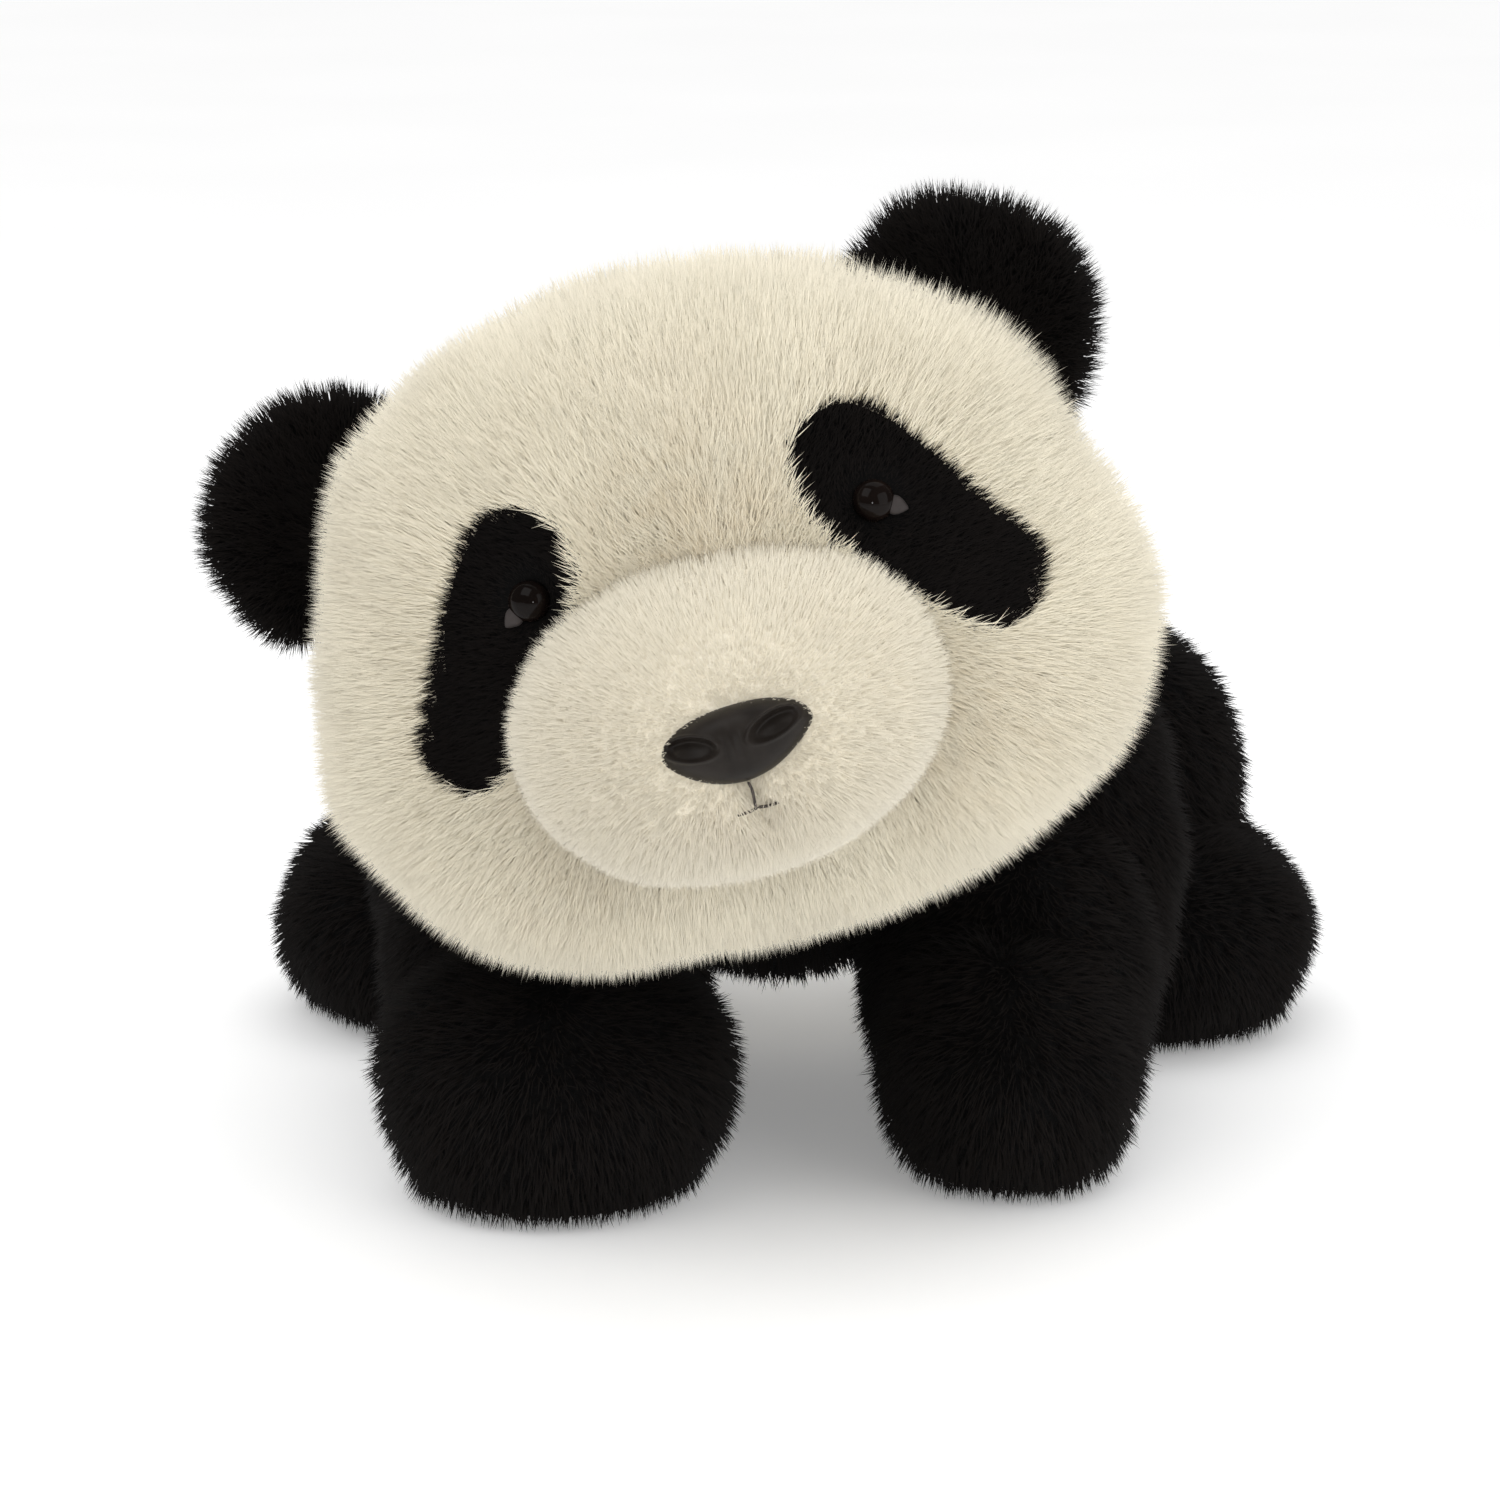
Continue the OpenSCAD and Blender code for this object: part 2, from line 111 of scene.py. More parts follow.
GROUPS = (
    ("panda_head", PandaHeadSizes),
    ("panda_pile", PandaPile),
    ("panda_colours", PandaColours),
    ("panda_stage", PandaStage),
)


# ---------------------------------------------------------------- arrays

def unit(v):
    """Vectors divided by their length."""
    return v / np.maximum(np.linalg.norm(v, axis=-1, keepdims=True), 1e-9)


def turn(axis, degrees):
    """The rotation matrix about one axis, by the right-hand rule."""
    c, s = math.cos(math.radians(degrees)), math.sin(math.radians(degrees))
    return np.array({
        "x": [[1, 0, 0], [0, c, -s], [0, s, c]],
        "y": [[c, 0, s], [0, 1, 0], [-s, 0, c]],
        "z": [[c, -s, 0], [s, c, 0], [0, 0, 1]],
    }[axis])


def waves(p, size, seed):
    """Smooth random height from about -1 to 1, and its slope: a sum of sine waves in random directions."""
    rng = np.random.default_rng(seed)
    k = unit(rng.normal(size=(9, 3))) * (2 * math.pi / size) * rng.uniform(0.65, 1.5, (9, 1))
    a = p @ k.T + rng.uniform(0, 2 * math.pi, 9)
    return np.sin(a).sum(1) / 3, (np.cos(a) @ k) * size / (2 * math.pi) / 3


def directions(around, along, pole):
    """Unit directions on a grid of rings between two poles, and the two poles themselves."""
    rise = np.linspace(-math.pi / 2, math.pi / 2, along + 1)[1:-1, None]
    turn_by = np.linspace(0, 2 * math.pi, around, endpoint=False)[None]
    flat = np.cos(rise)
    grid = np.stack([flat * np.cos(turn_by), flat * np.sin(turn_by),
                     np.broadcast_to(np.sin(rise), (along - 1, around))], -1).reshape(-1, 3)
    both = np.concatenate([grid, [[0, 0, -1], [0, 0, 1]]])
    return both[:, [2, 0, 1]] if pole == "x" else both[:, [1, 2, 0]] if pole == "y" else both


def ball_faces(around, along):
    """Faces of a grid of rings with a fan at each pole, as triangles facing outwards."""
    i = np.arange(along - 2)[:, None]
    j = np.arange(around)[None]
    a, b = i * around + j, i * around + (j + 1) % around
    c, d = b + around, a + around
    sides = np.concatenate([np.stack([a, b, c], -1).reshape(-1, 3),
                            np.stack([a, c, d], -1).reshape(-1, 3)])
    low = (along - 1) * around
    j = np.arange(around)
    top = (along - 2) * around
    first = np.stack([np.full(around, low), (j + 1) % around, j], -1)
    last = np.stack([np.full(around, low + 1), top + j, top + (j + 1) % around], -1)
    return np.concatenate([sides, first, last])


def lobe_reach(d, lobes, start, sharp=14.0):
    """Distance from a point inside to the outside of several ellipsoids, as a smooth maximum."""
    total = 0
    for centre, radii in lobes:
        o = (np.array(start, float) - centre) / radii
        v = d / np.array(radii, float)
        a = (v * v).sum(1)
        b = (v * o).sum(1)
        c = (o * o).sum() - 1
        reach = (-b + np.sqrt(np.maximum(b * b - a * c, 0))) / a
        total = total + np.maximum(reach, 0.1) ** sharp
    return total ** (1 / sharp)


def lobed(start, lobes, around=96, along=64, pole="z", sharp=14.0):
    """A closed soft form: from the start point each direction goes out to its lobe reach."""
    d = directions(around, along, pole)
    return np.array(start, float) + d * lobe_reach(d, lobes, start, sharp)[:, None], \
        ball_faces(around, along)


def vertex_normals(points, faces):
    """The sum of the face normals round each point, made one long."""
    a, b, c = (points[faces[:, k]] for k in range(3))
    n = np.cross(b - a, c - a)
    out = np.zeros_like(points)
    for k in range(3):
        np.add.at(out, faces[:, k], n)
    return unit(out)


def plush(points, faces, lump, size, seed):
    """A stuffed cover's unevenness: points move along their normals by random waves."""
    return points + vertex_normals(points, faces) * lump * waves(points, size, seed)[0][:, None]


# ---------------------------------------------------------------- pieces

def new_piece(name, points, faces, material, smooth=True):
    """A mesh object from points in millimetres and triangles."""
    mesh = bpy.data.meshes.new(name)
    mesh.vertices.add(len(points))
    mesh.vertices.foreach_set("co", (points * MM).astype(np.float32).ravel())
    mesh.loops.add(faces.size)
    mesh.loops.foreach_set("vertex_index", faces.astype(np.int32).ravel())
    mesh.polygons.add(len(faces))
    mesh.polygons.foreach_set("loop_start", np.arange(0, faces.size, 3, dtype=np.int32))
    mesh.update(calc_edges=True)
    mesh.polygons.foreach_set("use_smooth", np.full(len(faces), smooth))
    mesh.materials.append(material)
    piece = bpy.data.objects.new(name, mesh)
    bpy.context.scene.collection.objects.link(piece)
    return piece


def place(piece, body, slot, *nodes, fill=None):
    """The piece rides on its body and stands for its nodes, which are hidden; the slot is not used."""
    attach(piece, body)
    if nodes:
        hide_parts(*nodes)
    return piece


def add_piece(name, points, faces, finish, body, slot, *nodes, fill=None):
    """A new piece with its finish, placed on its body."""
    return place(new_piece(name, points, faces, material(finish)), body, slot, *nodes, fill=fill)


def scatter(points, faces, per_mm2, keep, rng, most=49500):
    """Random roots spread evenly over the triangles by area, with their smooth normals."""
    a, b, c = (points[faces[:, k]] for k in range(3))
    area = np.linalg.norm(np.cross(b - a, c - a), axis=1) / 2
    middle = (a + b + c) / 3
    open_area = area * keep(middle, 4.0)
    count = int(open_area.sum() * per_mm2)
    normals = vertex_normals(points, faces)
    f = rng.choice(len(faces), count, p=open_area / open_area.sum())
    s, t = np.sqrt(rng.random(count))[:, None], rng.random(count)[:, None]
    share = [1 - s, s * (1 - t), s * t]
    roots = sum(w * points[faces[f, k]] for k, w in enumerate(share))
    ups = unit(sum(w * normals[faces[f, k]] for k, w in enumerate(share)))
    inside = keep(roots, 0.0) > 0
    roots, ups = roots[inside], ups[inside]
    return roots[:most], ups[:most]


def needles(roots, ups, way, length, width, rng, floor=None):
    """Closed three-sided needles: three corners round each root and one tip."""
    count = len(roots)
    side = unit(np.cross(way, unit(rng.normal(size=(count, 3)))))
    other = np.cross(way, side)
    base = roots - ups * 0.7
    ring = [base + (side * math.cos(a) + other * math.sin(a)) * width[:, None] * 0.58
            for a in (0, 2 * math.pi / 3, 4 * math.pi / 3)]
    tip = roots + way * length[:, None]
    points = np.stack(ring + [tip], 1)
    if floor is not None:
        points[:, :, 2] = np.maximum(points[:, :, 2], floor)
    first = 4 * np.arange(count)[:, None]
    faces = np.concatenate([first + np.array(f) for f in ((0, 1, 3), (1, 2, 3), (2, 0, 3), (0, 2, 1))], 1)
    return points.reshape(-1, 3), faces.reshape(-1, 3)


def bake_map(mesh, count):
    """Each needle gets its own small square of the map, with its tip at the square's top."""
    row = int(math.ceil(math.sqrt(count)))
    cell = 1.0 / row
    n = np.arange(count)
    corner = np.stack([n % row, n // row], 1) * cell
    low_a, low_b = corner + cell * 0.12, corner + cell * np.array([0.88, 0.12])
    tip, low_c = corner + cell * np.array([0.5, 0.9]), corner + cell * np.array([0.5, 0.35])
    loops = np.stack([low_a, low_b, tip] * 3 + [low_a, low_b, low_c], 1)
    layer = mesh.uv_layers.new(name="OFBake")
    layer.data.foreach_set("uv", loops.astype(np.float32).ravel())


def new_pile(name, roots, ups, way, length, width, material, rng, floor=None, soft=0.7):
    """A patch of pile: needles with a root-to-tip value, a tone, and shading normals near the cover's."""
    points, faces = needles(roots, ups, way, length, width, rng, floor)
    piece = new_piece(name, points, faces, material)
    mesh = piece.data
    count = len(roots)
    tip = mesh.attributes.new("tip", "FLOAT", "POINT")
    tip.data.foreach_set("value", np.tile(np.array([0, 0, 0, 1], np.float32), count))
    tone = mesh.attributes.new("tone", "FLOAT", "POINT")
    tone.data.foreach_set("value", np.repeat(rng.random(count).astype(np.float32), 4))
    bake_map(mesh, count)
    centre = points.reshape(-1, 4, 3).mean(1)
    out = unit(points.reshape(-1, 4, 3) - centre[:, None] - way[:, None]
               * ((points.reshape(-1, 4, 3) - centre[:, None]) * way[:, None]).sum(-1, keepdims=True))
    shade = unit(ups[:, None] * soft + out * (1 - soft))
    mesh.normals_split_custom_set_from_vertices(shade.reshape(-1, 3).tolist())
    return piece


def groom(roots, ups, flow, lean, clump, size, seed, rng, spread=0.16):
    """Strand directions: the normal leans along the flow, and the slope of random waves makes tufts."""
    along = unit(flow - ups * (flow * ups).sum(1, keepdims=True))
    bundle = waves(roots, size, seed)[1]
    bundle = bundle - ups * (bundle * ups).sum(1, keepdims=True)
    lean = np.broadcast_to(lean, len(roots))[:, None]
    way = ups * np.cos(lean) + along * np.sin(lean)
    return unit(way + bundle * clump + rng.normal(size=roots.shape) * spread)


# ---------------------------------------------------------------- materials

def nodes_of(name):
    """A new material with only its shader and output, and its node tree."""
    material = bpy.data.materials.new(name)
    material.use_nodes = True
    tree = material.node_tree
    tree.nodes.clear()
    shader = tree.nodes.new("ShaderNodeBsdfPrincipled")
    out = tree.nodes.new("ShaderNodeOutputMaterial")
    tree.links.new(shader.outputs[0], out.inputs[0])
    return material, tree, shader


def set_values(node, values):
    for key, value in values.items():
        node.inputs[key].default_value = value


def link(tree, source, target):
    tree.links.new(source, target)


def attribute(tree, name):
    node = tree.nodes.new("ShaderNodeAttribute")
    node.attribute_name = name
    return node.outputs["Fac"]


def place_coords(tree):
    return tree.nodes.new("ShaderNodeTexCoord").outputs["Object"]


def noise(tree, scale, detail=3.0, rough=0.5):
    """Noise on the piece's own place, with scale in waves a metre."""
    node = tree.nodes.new("ShaderNodeTexNoise")
    set_values(node, {"Scale": scale, "Detail": detail, "Roughness": rough})
    link(tree, place_coords(tree), node.inputs["Vector"])
    return node.outputs["Fac"]


def spread_range(tree, value, low, high, to_low=0.0, to_high=1.0):
    node = tree.nodes.new("ShaderNodeMapRange")
    node.interpolation_type = "SMOOTHSTEP"
    set_values(node, {"From Min": low, "From Max": high, "To Min": to_low, "To Max": to_high})
    link(tree, value, node.inputs["Value"])
    return node.outputs["Result"]


def maths(tree, kind, a, b):
    node = tree.nodes.new("ShaderNodeMath")
    node.operation = kind
    for k, value in enumerate((a, b)):
        if isinstance(value, (int, float)):
            node.inputs[k].default_value = value
        else:
            link(tree, value, node.inputs[k])
    return node.outputs[0]


def mix(tree, share, a, b):
    """A colour between two, by a share from 0 to 1."""
    node = tree.nodes.new("ShaderNodeMix")
    node.data_type = "RGBA"
    for key, value in (("Factor", share), ("A", a), ("B", b)):
        socket = [s for s in node.inputs if s.name == key and s.enabled][0]
        if isinstance(value, (tuple, list)) or hasattr(value, "hsv"):
            socket.default_value = (*value[:3], 1.0)
        else:
            link(tree, value, socket)
    return [s for s in node.outputs if s.enabled][0]


def near(tree, point, inner, outer):
    """A share from 1 near a point (in millimetres) to 0 far from it."""
    mapping = tree.nodes.new("ShaderNodeMapping")
    mapping.vector_type = "POINT"
    mapping.inputs["Location"].default_value = [-c * MM for c in point]
    link(tree, place_coords(tree), mapping.inputs["Vector"])
    length = tree.nodes.new("ShaderNodeVectorMath")
    length.operation = "LENGTH"
    link(tree, mapping.outputs[0], length.inputs[0])
    return spread_range(tree, length.outputs["Value"], inner * MM, outer * MM, 1.0, 0.0)


def add_bump(tree, shader, height, strength, distance):
    """Fine relief on a finish, its depth in metres."""
    bump = tree.nodes.new("ShaderNodeBump")
    set_values(bump, {"Strength": strength, "Distance": distance})
    link(tree, height, bump.inputs["Height"])
    link(tree, bump.outputs[0], shader.inputs["Normal"])


def pile_material(name, root, tip, streak, streak_share, rough, sheen, tints=()):
    """Pile: darker at the root as painted shade deep in the pile, lighter at the tip, each strand a little
    different, with soft patches.
    """
    material, tree, shader = nodes_of(name)
    # painted shade: the colour turns towards the darker root colour near the fabric
    up = spread_range(tree, attribute(tree, "tip"), 0.0, 0.75)
    colour = mix(tree, up, root, tip)
    tone = spread_range(tree, attribute(tree, "tone"), 0.0, 1.0, 0.0, streak_share)
    colour = mix(tree, tone, colour, streak)
    patch = spread_range(tree, noise(tree, 45.0, 4.0), 0.35, 0.75, 0.0, streak_share * 0.8)
    colour = mix(tree, patch, colour, streak)
    for point, inner, outer, share, tint in tints:
        cover = maths(tree, "MULTIPLY", near(tree, point, inner, outer), share)
        uneven = spread_range(tree, noise(tree, 110.0, 5.0, 0.65), 0.36, 0.62, 0.12, 1.0)
        colour = mix(tree, maths(tree, "MULTIPLY", cover, uneven), colour, tint)
    link(tree, colour, shader.inputs["Base Color"])
    set_values(shader, {"Roughness": rough, "Specular IOR Level": 0.05,
                        "Sheen Weight": sheen, "Sheen Roughness": 0.55})
    return material


def cover_material(name, colour, dark, rough=0.9):
    """Backing fabric under the pile: fine knit and soft unevenness."""
    material, tree, shader = nodes_of(name)
    fine = spread_range(tree, noise(tree, 900.0, 2.0), 0.3, 0.7)
    broad = spread_range(tree, noise(tree, 60.0, 3.0), 0.3, 0.7, 0.0, 0.5)
    base = mix(tree, fine, dark, colour)
    base = mix(tree, broad, base, dark)
    link(tree, base, shader.inputs["Base Color"])
    set_values(shader, {"Roughness": rough, "Specular IOR Level": 0.1})
    add_bump(tree, shader, fine, 0.5, 0.0004)
    return material


def plastic_material(name, colour, other, rough, coat=0.0, grain=0.00003, scale=1500.0, shine=0.5):
    """Moulded plastic: faint cloudiness in its colour and gloss, and a fine grain."""
    material, tree, shader = nodes_of(name)
    cloud = noise(tree, 120.0, 3.0)
    link(tree, mix(tree, spread_range(tree, cloud, 0.3, 0.7), colour, other), shader.inputs["Base Color"])
    link(tree, spread_range(tree, cloud, 0.25, 0.75, rough * 0.85, min(1.0, rough * 1.15)),
         shader.inputs["Roughness"])
    set_values(shader, {"Specular IOR Level": shine, "Coat Weight": coat, "Coat Roughness": 0.04})
    add_bump(tree, shader, noise(tree, scale, 2.0), 0.4, grain)
    return material


def thread_material(name, colour, dark):
    """Twisted thread: light and dark plies along the strand."""
    material, tree, shader = nodes_of(name)
    wave = tree.nodes.new("ShaderNodeTexWave")
    set_values(wave, {"Scale": 500.0, "Distortion": 2.0})
    link(tree, place_coords(tree), wave.inputs["Vector"])
    link(tree, mix(tree, wave.outputs["Fac"], dark, colour), shader.inputs["Base Color"])
    shader.inputs["Roughness"].default_value = 0.85
    return material


MATERIALS = {}


def material(key):
    """The named finish, made once."""
    if key in MATERIALS:
        return MATERIALS[key]
    c = bpy.context.scene.panda_colours
    bridge = tuple(head_point((3, -62, 30)))
    cheek_left = tuple(head_point((44, -52, -34)))
    cheek_right = tuple(head_point((-46, -52, -34)))
    mouth = tuple(head_point((0, -106, -32)))
    makers = {
        # in each pile finish below, the first colour, at the root, is darker than the tip's: painted shade
        # deep in the pile
        "coat": lambda: pile_material(
            "cream_pile", c.cream_root_shade, c.cream, (0.87, 0.775, 0.595), 0.25, 0.85, 0.3,
            [(bridge, 4, 38, 0.34, c.tan),
             (cheek_left, 8, 34, 0.22, c.tan),
             (cheek_right, 8, 30, 0.12, c.tan)]),
        "muzzle": lambda: pile_material(
            "muzzle_pile", (0.81, 0.74, 0.58), (0.87, 0.805, 0.65), (0.83, 0.745, 0.58), 0.18, 0.9, 0.25,
            [(mouth, 6, 22, 0.16, (0.62, 0.50, 0.38))]),
        "black": lambda: pile_material(
            "black_pile", c.black_root_shade, c.black, (0.016, 0.012, 0.010), 0.25, 0.8, 0.02),
        "cream_cover": lambda: cover_material("cream_backing", (0.88, 0.81, 0.66), (0.82, 0.75, 0.60)),
        "muzzle_cover": lambda: cover_material("muzzle_backing", (0.84, 0.78, 0.65), (0.78, 0.71, 0.57)),
        "black_cover": lambda: cover_material(
            "black_backing", (0.004, 0.0036, 0.0034), (0.002, 0.002, 0.002)),
        "sole": lambda: cover_material("sole_suede", (0.022, 0.02, 0.019), (0.010, 0.009, 0.009)),
        "eye": lambda: plastic_material("eye_gloss", (0.004, 0.0028, 0.0024), (0.008, 0.005, 0.004), 0.05,
                                        coat=0.08, grain=0.000002, shine=0.06),
        "corner": lambda: plastic_material("eye_corner", (0.030, 0.026, 0.025), (0.055, 0.047, 0.045), 0.45,
                                           shine=0.10),
        "nose": lambda: plastic_material("nose_plastic", (0.012, 0.0096, 0.0080), (0.020, 0.0162, 0.0135),
                                         0.36, grain=0.00006, scale=1100.0, shine=0.13),
        "thread": lambda: thread_material("thread_dark", (0.075, 0.06, 0.05), (0.018, 0.014, 0.012)),
        "cream_thread": lambda: thread_material("thread_cream", (0.78, 0.70, 0.56), (0.55, 0.47, 0.34)),
        "washer": lambda: plastic_material("washer_plastic", (0.80, 0.80, 0.77), (0.88, 0.88, 0.86), 0.45),
        "pellets": lambda: plastic_material("pellet_bag", (0.62, 0.63, 0.68), (0.78, 0.79, 0.83), 0.5,
                                            grain=0.0008, scale=420.0),
        "fill": lambda: cover_material("fibre_fill", (0.86, 0.86, 0.86), (0.70, 0.70, 0.70), 0.95),
    }
    MATERIALS[key] = makers[key]()
    return MATERIALS[key]


# ---------------------------------------------------------------- head

HEAD_AT = np.array([-4.0, -78.0, 150.0])
HEAD_TURN = turn("z", 2) @ turn("y", -18)
FULL = 2.3                     # fullness of the head: 2 is an ellipsoid, more is boxier
EYES = {LEFT: (41.5, 23.4), RIGHT: (-37.5, 25.2)}    # across and up from the head's centre
PATCH = (((37.5, 31.0), 12.8), ((46.0, 18.0), 12.8), ((60.5, -2.5), 10.2))
MUZZLE_AT = np.array([-3.0, -50.0, -11.0])
MUZZLE_SIZE = np.array([48.5, 54.0, 35.6])
MUZZLE_FULL = 2.15
HEAD_GRID, MUZZLE_GRID, EAR_GRID = (112, 84), (96, 72), (72, 48)    # steps around and along a cover
SNOUT = np.array([0.0, -104.0, -14.0])    # the coat lies away from here
FACE_EDGE_Y = -14.0            # the face's coat is in front of this, the crown and nape behind
NOSE_AT = (0.0, -10.0)         # across and up from the head's centre
EARS = {LEFT: np.array([70.0, 2.0, 45.0]), RIGHT: np.array([-83.5, 8.0, 45.5])}
EAR_FULLER = {LEFT: 2.5, RIGHT: 1.5}
EAR_LEAN = 32.0


def head_point(p):
    """A place in the head's own axes, moved into the toy's axes."""
    return HEAD_AT + HEAD_TURN @ np.array(p, float)


def head_out(points):
    """Points in the head's own axes, moved into the toy's axes."""
    return HEAD_AT + points @ HEAD_TURN.T


def head_way(vectors):
    return vectors @ HEAD_TURN.T


def add_head_pile(name, body, slot, finish, roots, ups, way, length, width, rng, soft):
    """Pile worked out in the head's own axes, placed on its body."""
    piece = new_pile(name, head_out(roots), head_way(ups), head_way(way), length, width,
                     material(finish), rng, soft=soft)
    return place(piece, body, slot)


def head_reach(d):
    """How far the head's cover lies along each direction: its shares of the half sizes, raised to FULL,
    add up to one."""
    s = bpy.context.scene.panda_head
    depth = np.where(d[:, 1] < 0, s.face_depth, s.nape_depth) / MM
    total = (np.abs(d[:, 0]) / (s.half_width / MM)) ** FULL + (np.abs(d[:, 1]) / depth) ** FULL \
        + (np.abs(d[:, 2]) / (s.half_height / MM)) ** FULL
    return total ** (-1 / FULL)


def face_depth_at(x, z):
    """How far forward the head's cover lies at a place across and up."""
    s = bpy.context.scene.panda_head
    rest = 1 - (abs(x) / (s.half_width / MM)) ** FULL - (abs(z) / (s.half_height / MM)) ** FULL
    return -(s.face_depth / MM) * max(rest, 0.0) ** (1 / FULL)


def face_frame(x, z):
    """A place on the face with its outward direction."""
    step = 0.5
    y = face_depth_at(x, z)
    dx = (face_depth_at(x + step, z) - face_depth_at(x - step, z)) / (2 * step)
    dz = (face_depth_at(x, z + step) - face_depth_at(x, z - step)) / (2 * step)
    return np.array([x, y, z]), unit(np.array([dx, -1.0, dz]))


def patch_gap(p):
    """Distance outside the eye patches, across and up the face: below zero inside a patch."""
    x, z = np.abs(p[:, 0]), p[:, 2]
    best = np.full(len(p), 1e3)
    for (a, ra), (b, rb) in zip(PATCH[:-1], PATCH[1:]):
        a, b = np.array(a), np.array(b)
        q = np.stack([x, z], 1)
        t = np.clip(((q - a) @ (b - a)) / ((b - a) @ (b - a)), 0, 1)
        gap = np.linalg.norm(q - a - t[:, None] * (b - a), axis=1) - (ra + t * (rb - ra))
        best = np.minimum(best, gap)
    return np.where(p[:, 1] < -10, best, 1e3)


def muzzle_gap(p):
    """How far outside the muzzle a place is, as a share of its size: below zero inside it."""
    q = (p - MUZZLE_AT) / MUZZLE_SIZE
    return (np.abs(q) ** MUZZLE_FULL).sum(1) - 1


def head_cover():
    """The head's cover: sunk at the patches, fuller at the low cheeks, its crown leaning to one side."""
    d = directions(*HEAD_GRID, "y")
    points = d * head_reach(d)[:, None]
    sunk = np.clip(-patch_gap(points) / 6, 0, 1) * 1.6
    x, y, z = points.T
    deep = np.clip(1 - (y / 75) ** 2, 0, 1)
    bulges = ((6.5, -90, -16, 34, 18), (6.5, -62, -48, 30, 22), (-3.0, -84, 32, 26, 20),
              (-9.0, 90, 13, 34, 20), (2.0, 62, -38, 32, 28), (4.0, -22, 72, 40, 26),
              (3.0, 18, 74, 30, 22), (-4.0, -40, -78, 34, 16))
    cheeks = sum(rise * np.exp(-((x - across) / wide) ** 2 - ((z - up) / tall) ** 2)
                 for rise, across, up, wide, tall in bulges)
    points = points + unit(points) * (cheeks * deep - sunk)[:, None]
    # the crown leans to the toy's right
    points[:, 0] -= 9.0 * np.clip(z / 71, 0, 1) ** 2 * np.clip(1 - np.clip(-y / 80, 0, 1) ** 2, 0, 1)
    faces = ball_faces(*HEAD_GRID)
    return plush(points, faces, 0.5, 38.0, 3), faces


def muzzle_cover():
    """The muzzle: a full dome with two jowls below the nose and a crease between them."""
    d = directions(*MUZZLE_GRID, "y")
    reach = (np.abs(d / MUZZLE_SIZE) ** MUZZLE_FULL).sum(1) ** (-1 / MUZZLE_FULL)
    p = d * reach[:, None]
    front = np.clip(-p[:, 1] / MUZZLE_SIZE[1], 0, 1)
    x = p[:, 0] + MUZZLE_AT[0] - NOSE_AT[0]
    jowl = np.exp(-((np.abs(x) - 13) / 11) ** 2 - ((p[:, 2] + 17) / 9) ** 2) * 1.6
    crease = np.exp(-(x / 3.2) ** 2 - ((p[:, 2] + 14) / 10) ** 2) * 1.8
    chin = np.exp(-(x / 16) ** 2 - ((p[:, 2] + 30) / 7) ** 2) * 1.0
    seat = 2.6 * np.exp(-((x / 18) ** 2 + ((p[:, 2] + MUZZLE_AT[2] - NOSE_AT[1]) / 10) ** 2) ** 1.5)
    p = p + unit(p) * ((jowl - crease + chin - seat) * front)[:, None]
    faces = ball_faces(*MUZZLE_GRID)
    return plush(p, faces, 0.35, 26.0, 5) + MUZZLE_AT, faces


def coat_regions():
    """The head's coat in pieces: name, strands a square millimetre, and which places it covers."""
    def face(p):
        return p[:, 1] < FACE_EDGE_Y

    return (
        ("coat_brow_left", 4.6, lambda p: face(p) & (p[:, 0] >= 0) & (p[:, 2] > 8)),
        ("coat_brow_right", 4.6, lambda p: face(p) & (p[:, 0] < 0) & (p[:, 2] > 8)),
        ("coat_cheek_left", 4.6, lambda p: face(p) & (p[:, 0] >= 0) & (p[:, 2] <= 8)),
        ("coat_cheek_right", 4.6, lambda p: face(p) & (p[:, 0] < 0) & (p[:, 2] <= 8)),
        ("coat_crown", 1.3, lambda p: ~face(p) & (p[:, 2] > 0)),
        ("coat_nape", 0.75, lambda p: ~face(p) & (p[:, 2] <= 0)),
    )


class PANDA_OT_head(bpy.types.Operator):
    """Makes the head's cover and its cream coat"""
    bl_idname = "panda.make_head"
    bl_label = "Head"

    def execute(self, context):
        pile = context.scene.panda_pile
        points, faces = head_cover()
        add_piece("head_cover", head_out(points), faces, "cream_cover",
                  "head", "cream_pile", "head_skin", "head_stuffing", fill=0.95)
        for number, (name, density, region) in enumerate(coat_regions()):
            rng = np.random.default_rng(100 + number)

            def keep(p, margin, region=region):
                gap = patch_gap(p)
                clear = (gap > 0.5 - margin) & (muzzle_gap(p) > -0.02 - margin * 0.02)
                return (region(p) & clear).astype(float)

            roots, ups = scatter(points, faces, density * pile.density, keep, rng)
            flow = roots - SNOUT
            low = np.clip(-roots[:, 2] / 60, 0, 1)
            flow = unit(flow) + np.array([0, 0.1, -0.35]) * low[:, None]
            beside = np.clip(1 - np.abs(muzzle_gap(roots)) / 0.35, 0, 1)
            edge = np.clip(1 - np.abs(patch_gap(roots)) / 7, 0, 1)
            lean = 0.62 + 0.12 * waves(roots, 30.0, 11)[0] - 0.15 * beside - 0.1 * edge
            way = groom(roots, ups, flow, lean, 0.13, 6.0, 21, rng, 0.2)
            length = pile.coat_length / MM * (1 - 0.45 * beside) * (1 - 0.15 * edge) \
                * rng.uniform(0.72, 1.1, len(roots))
            # where the coat is sparser its strands are thicker
            width = rng.uniform(0.26, 0.41, len(roots)) * (4.6 / density) ** 0.4
            add_head_pile(name, "head", "cream_pile", "coat", roots, ups, way, length, width, rng, 0.85)
        return {"FINISHED"}


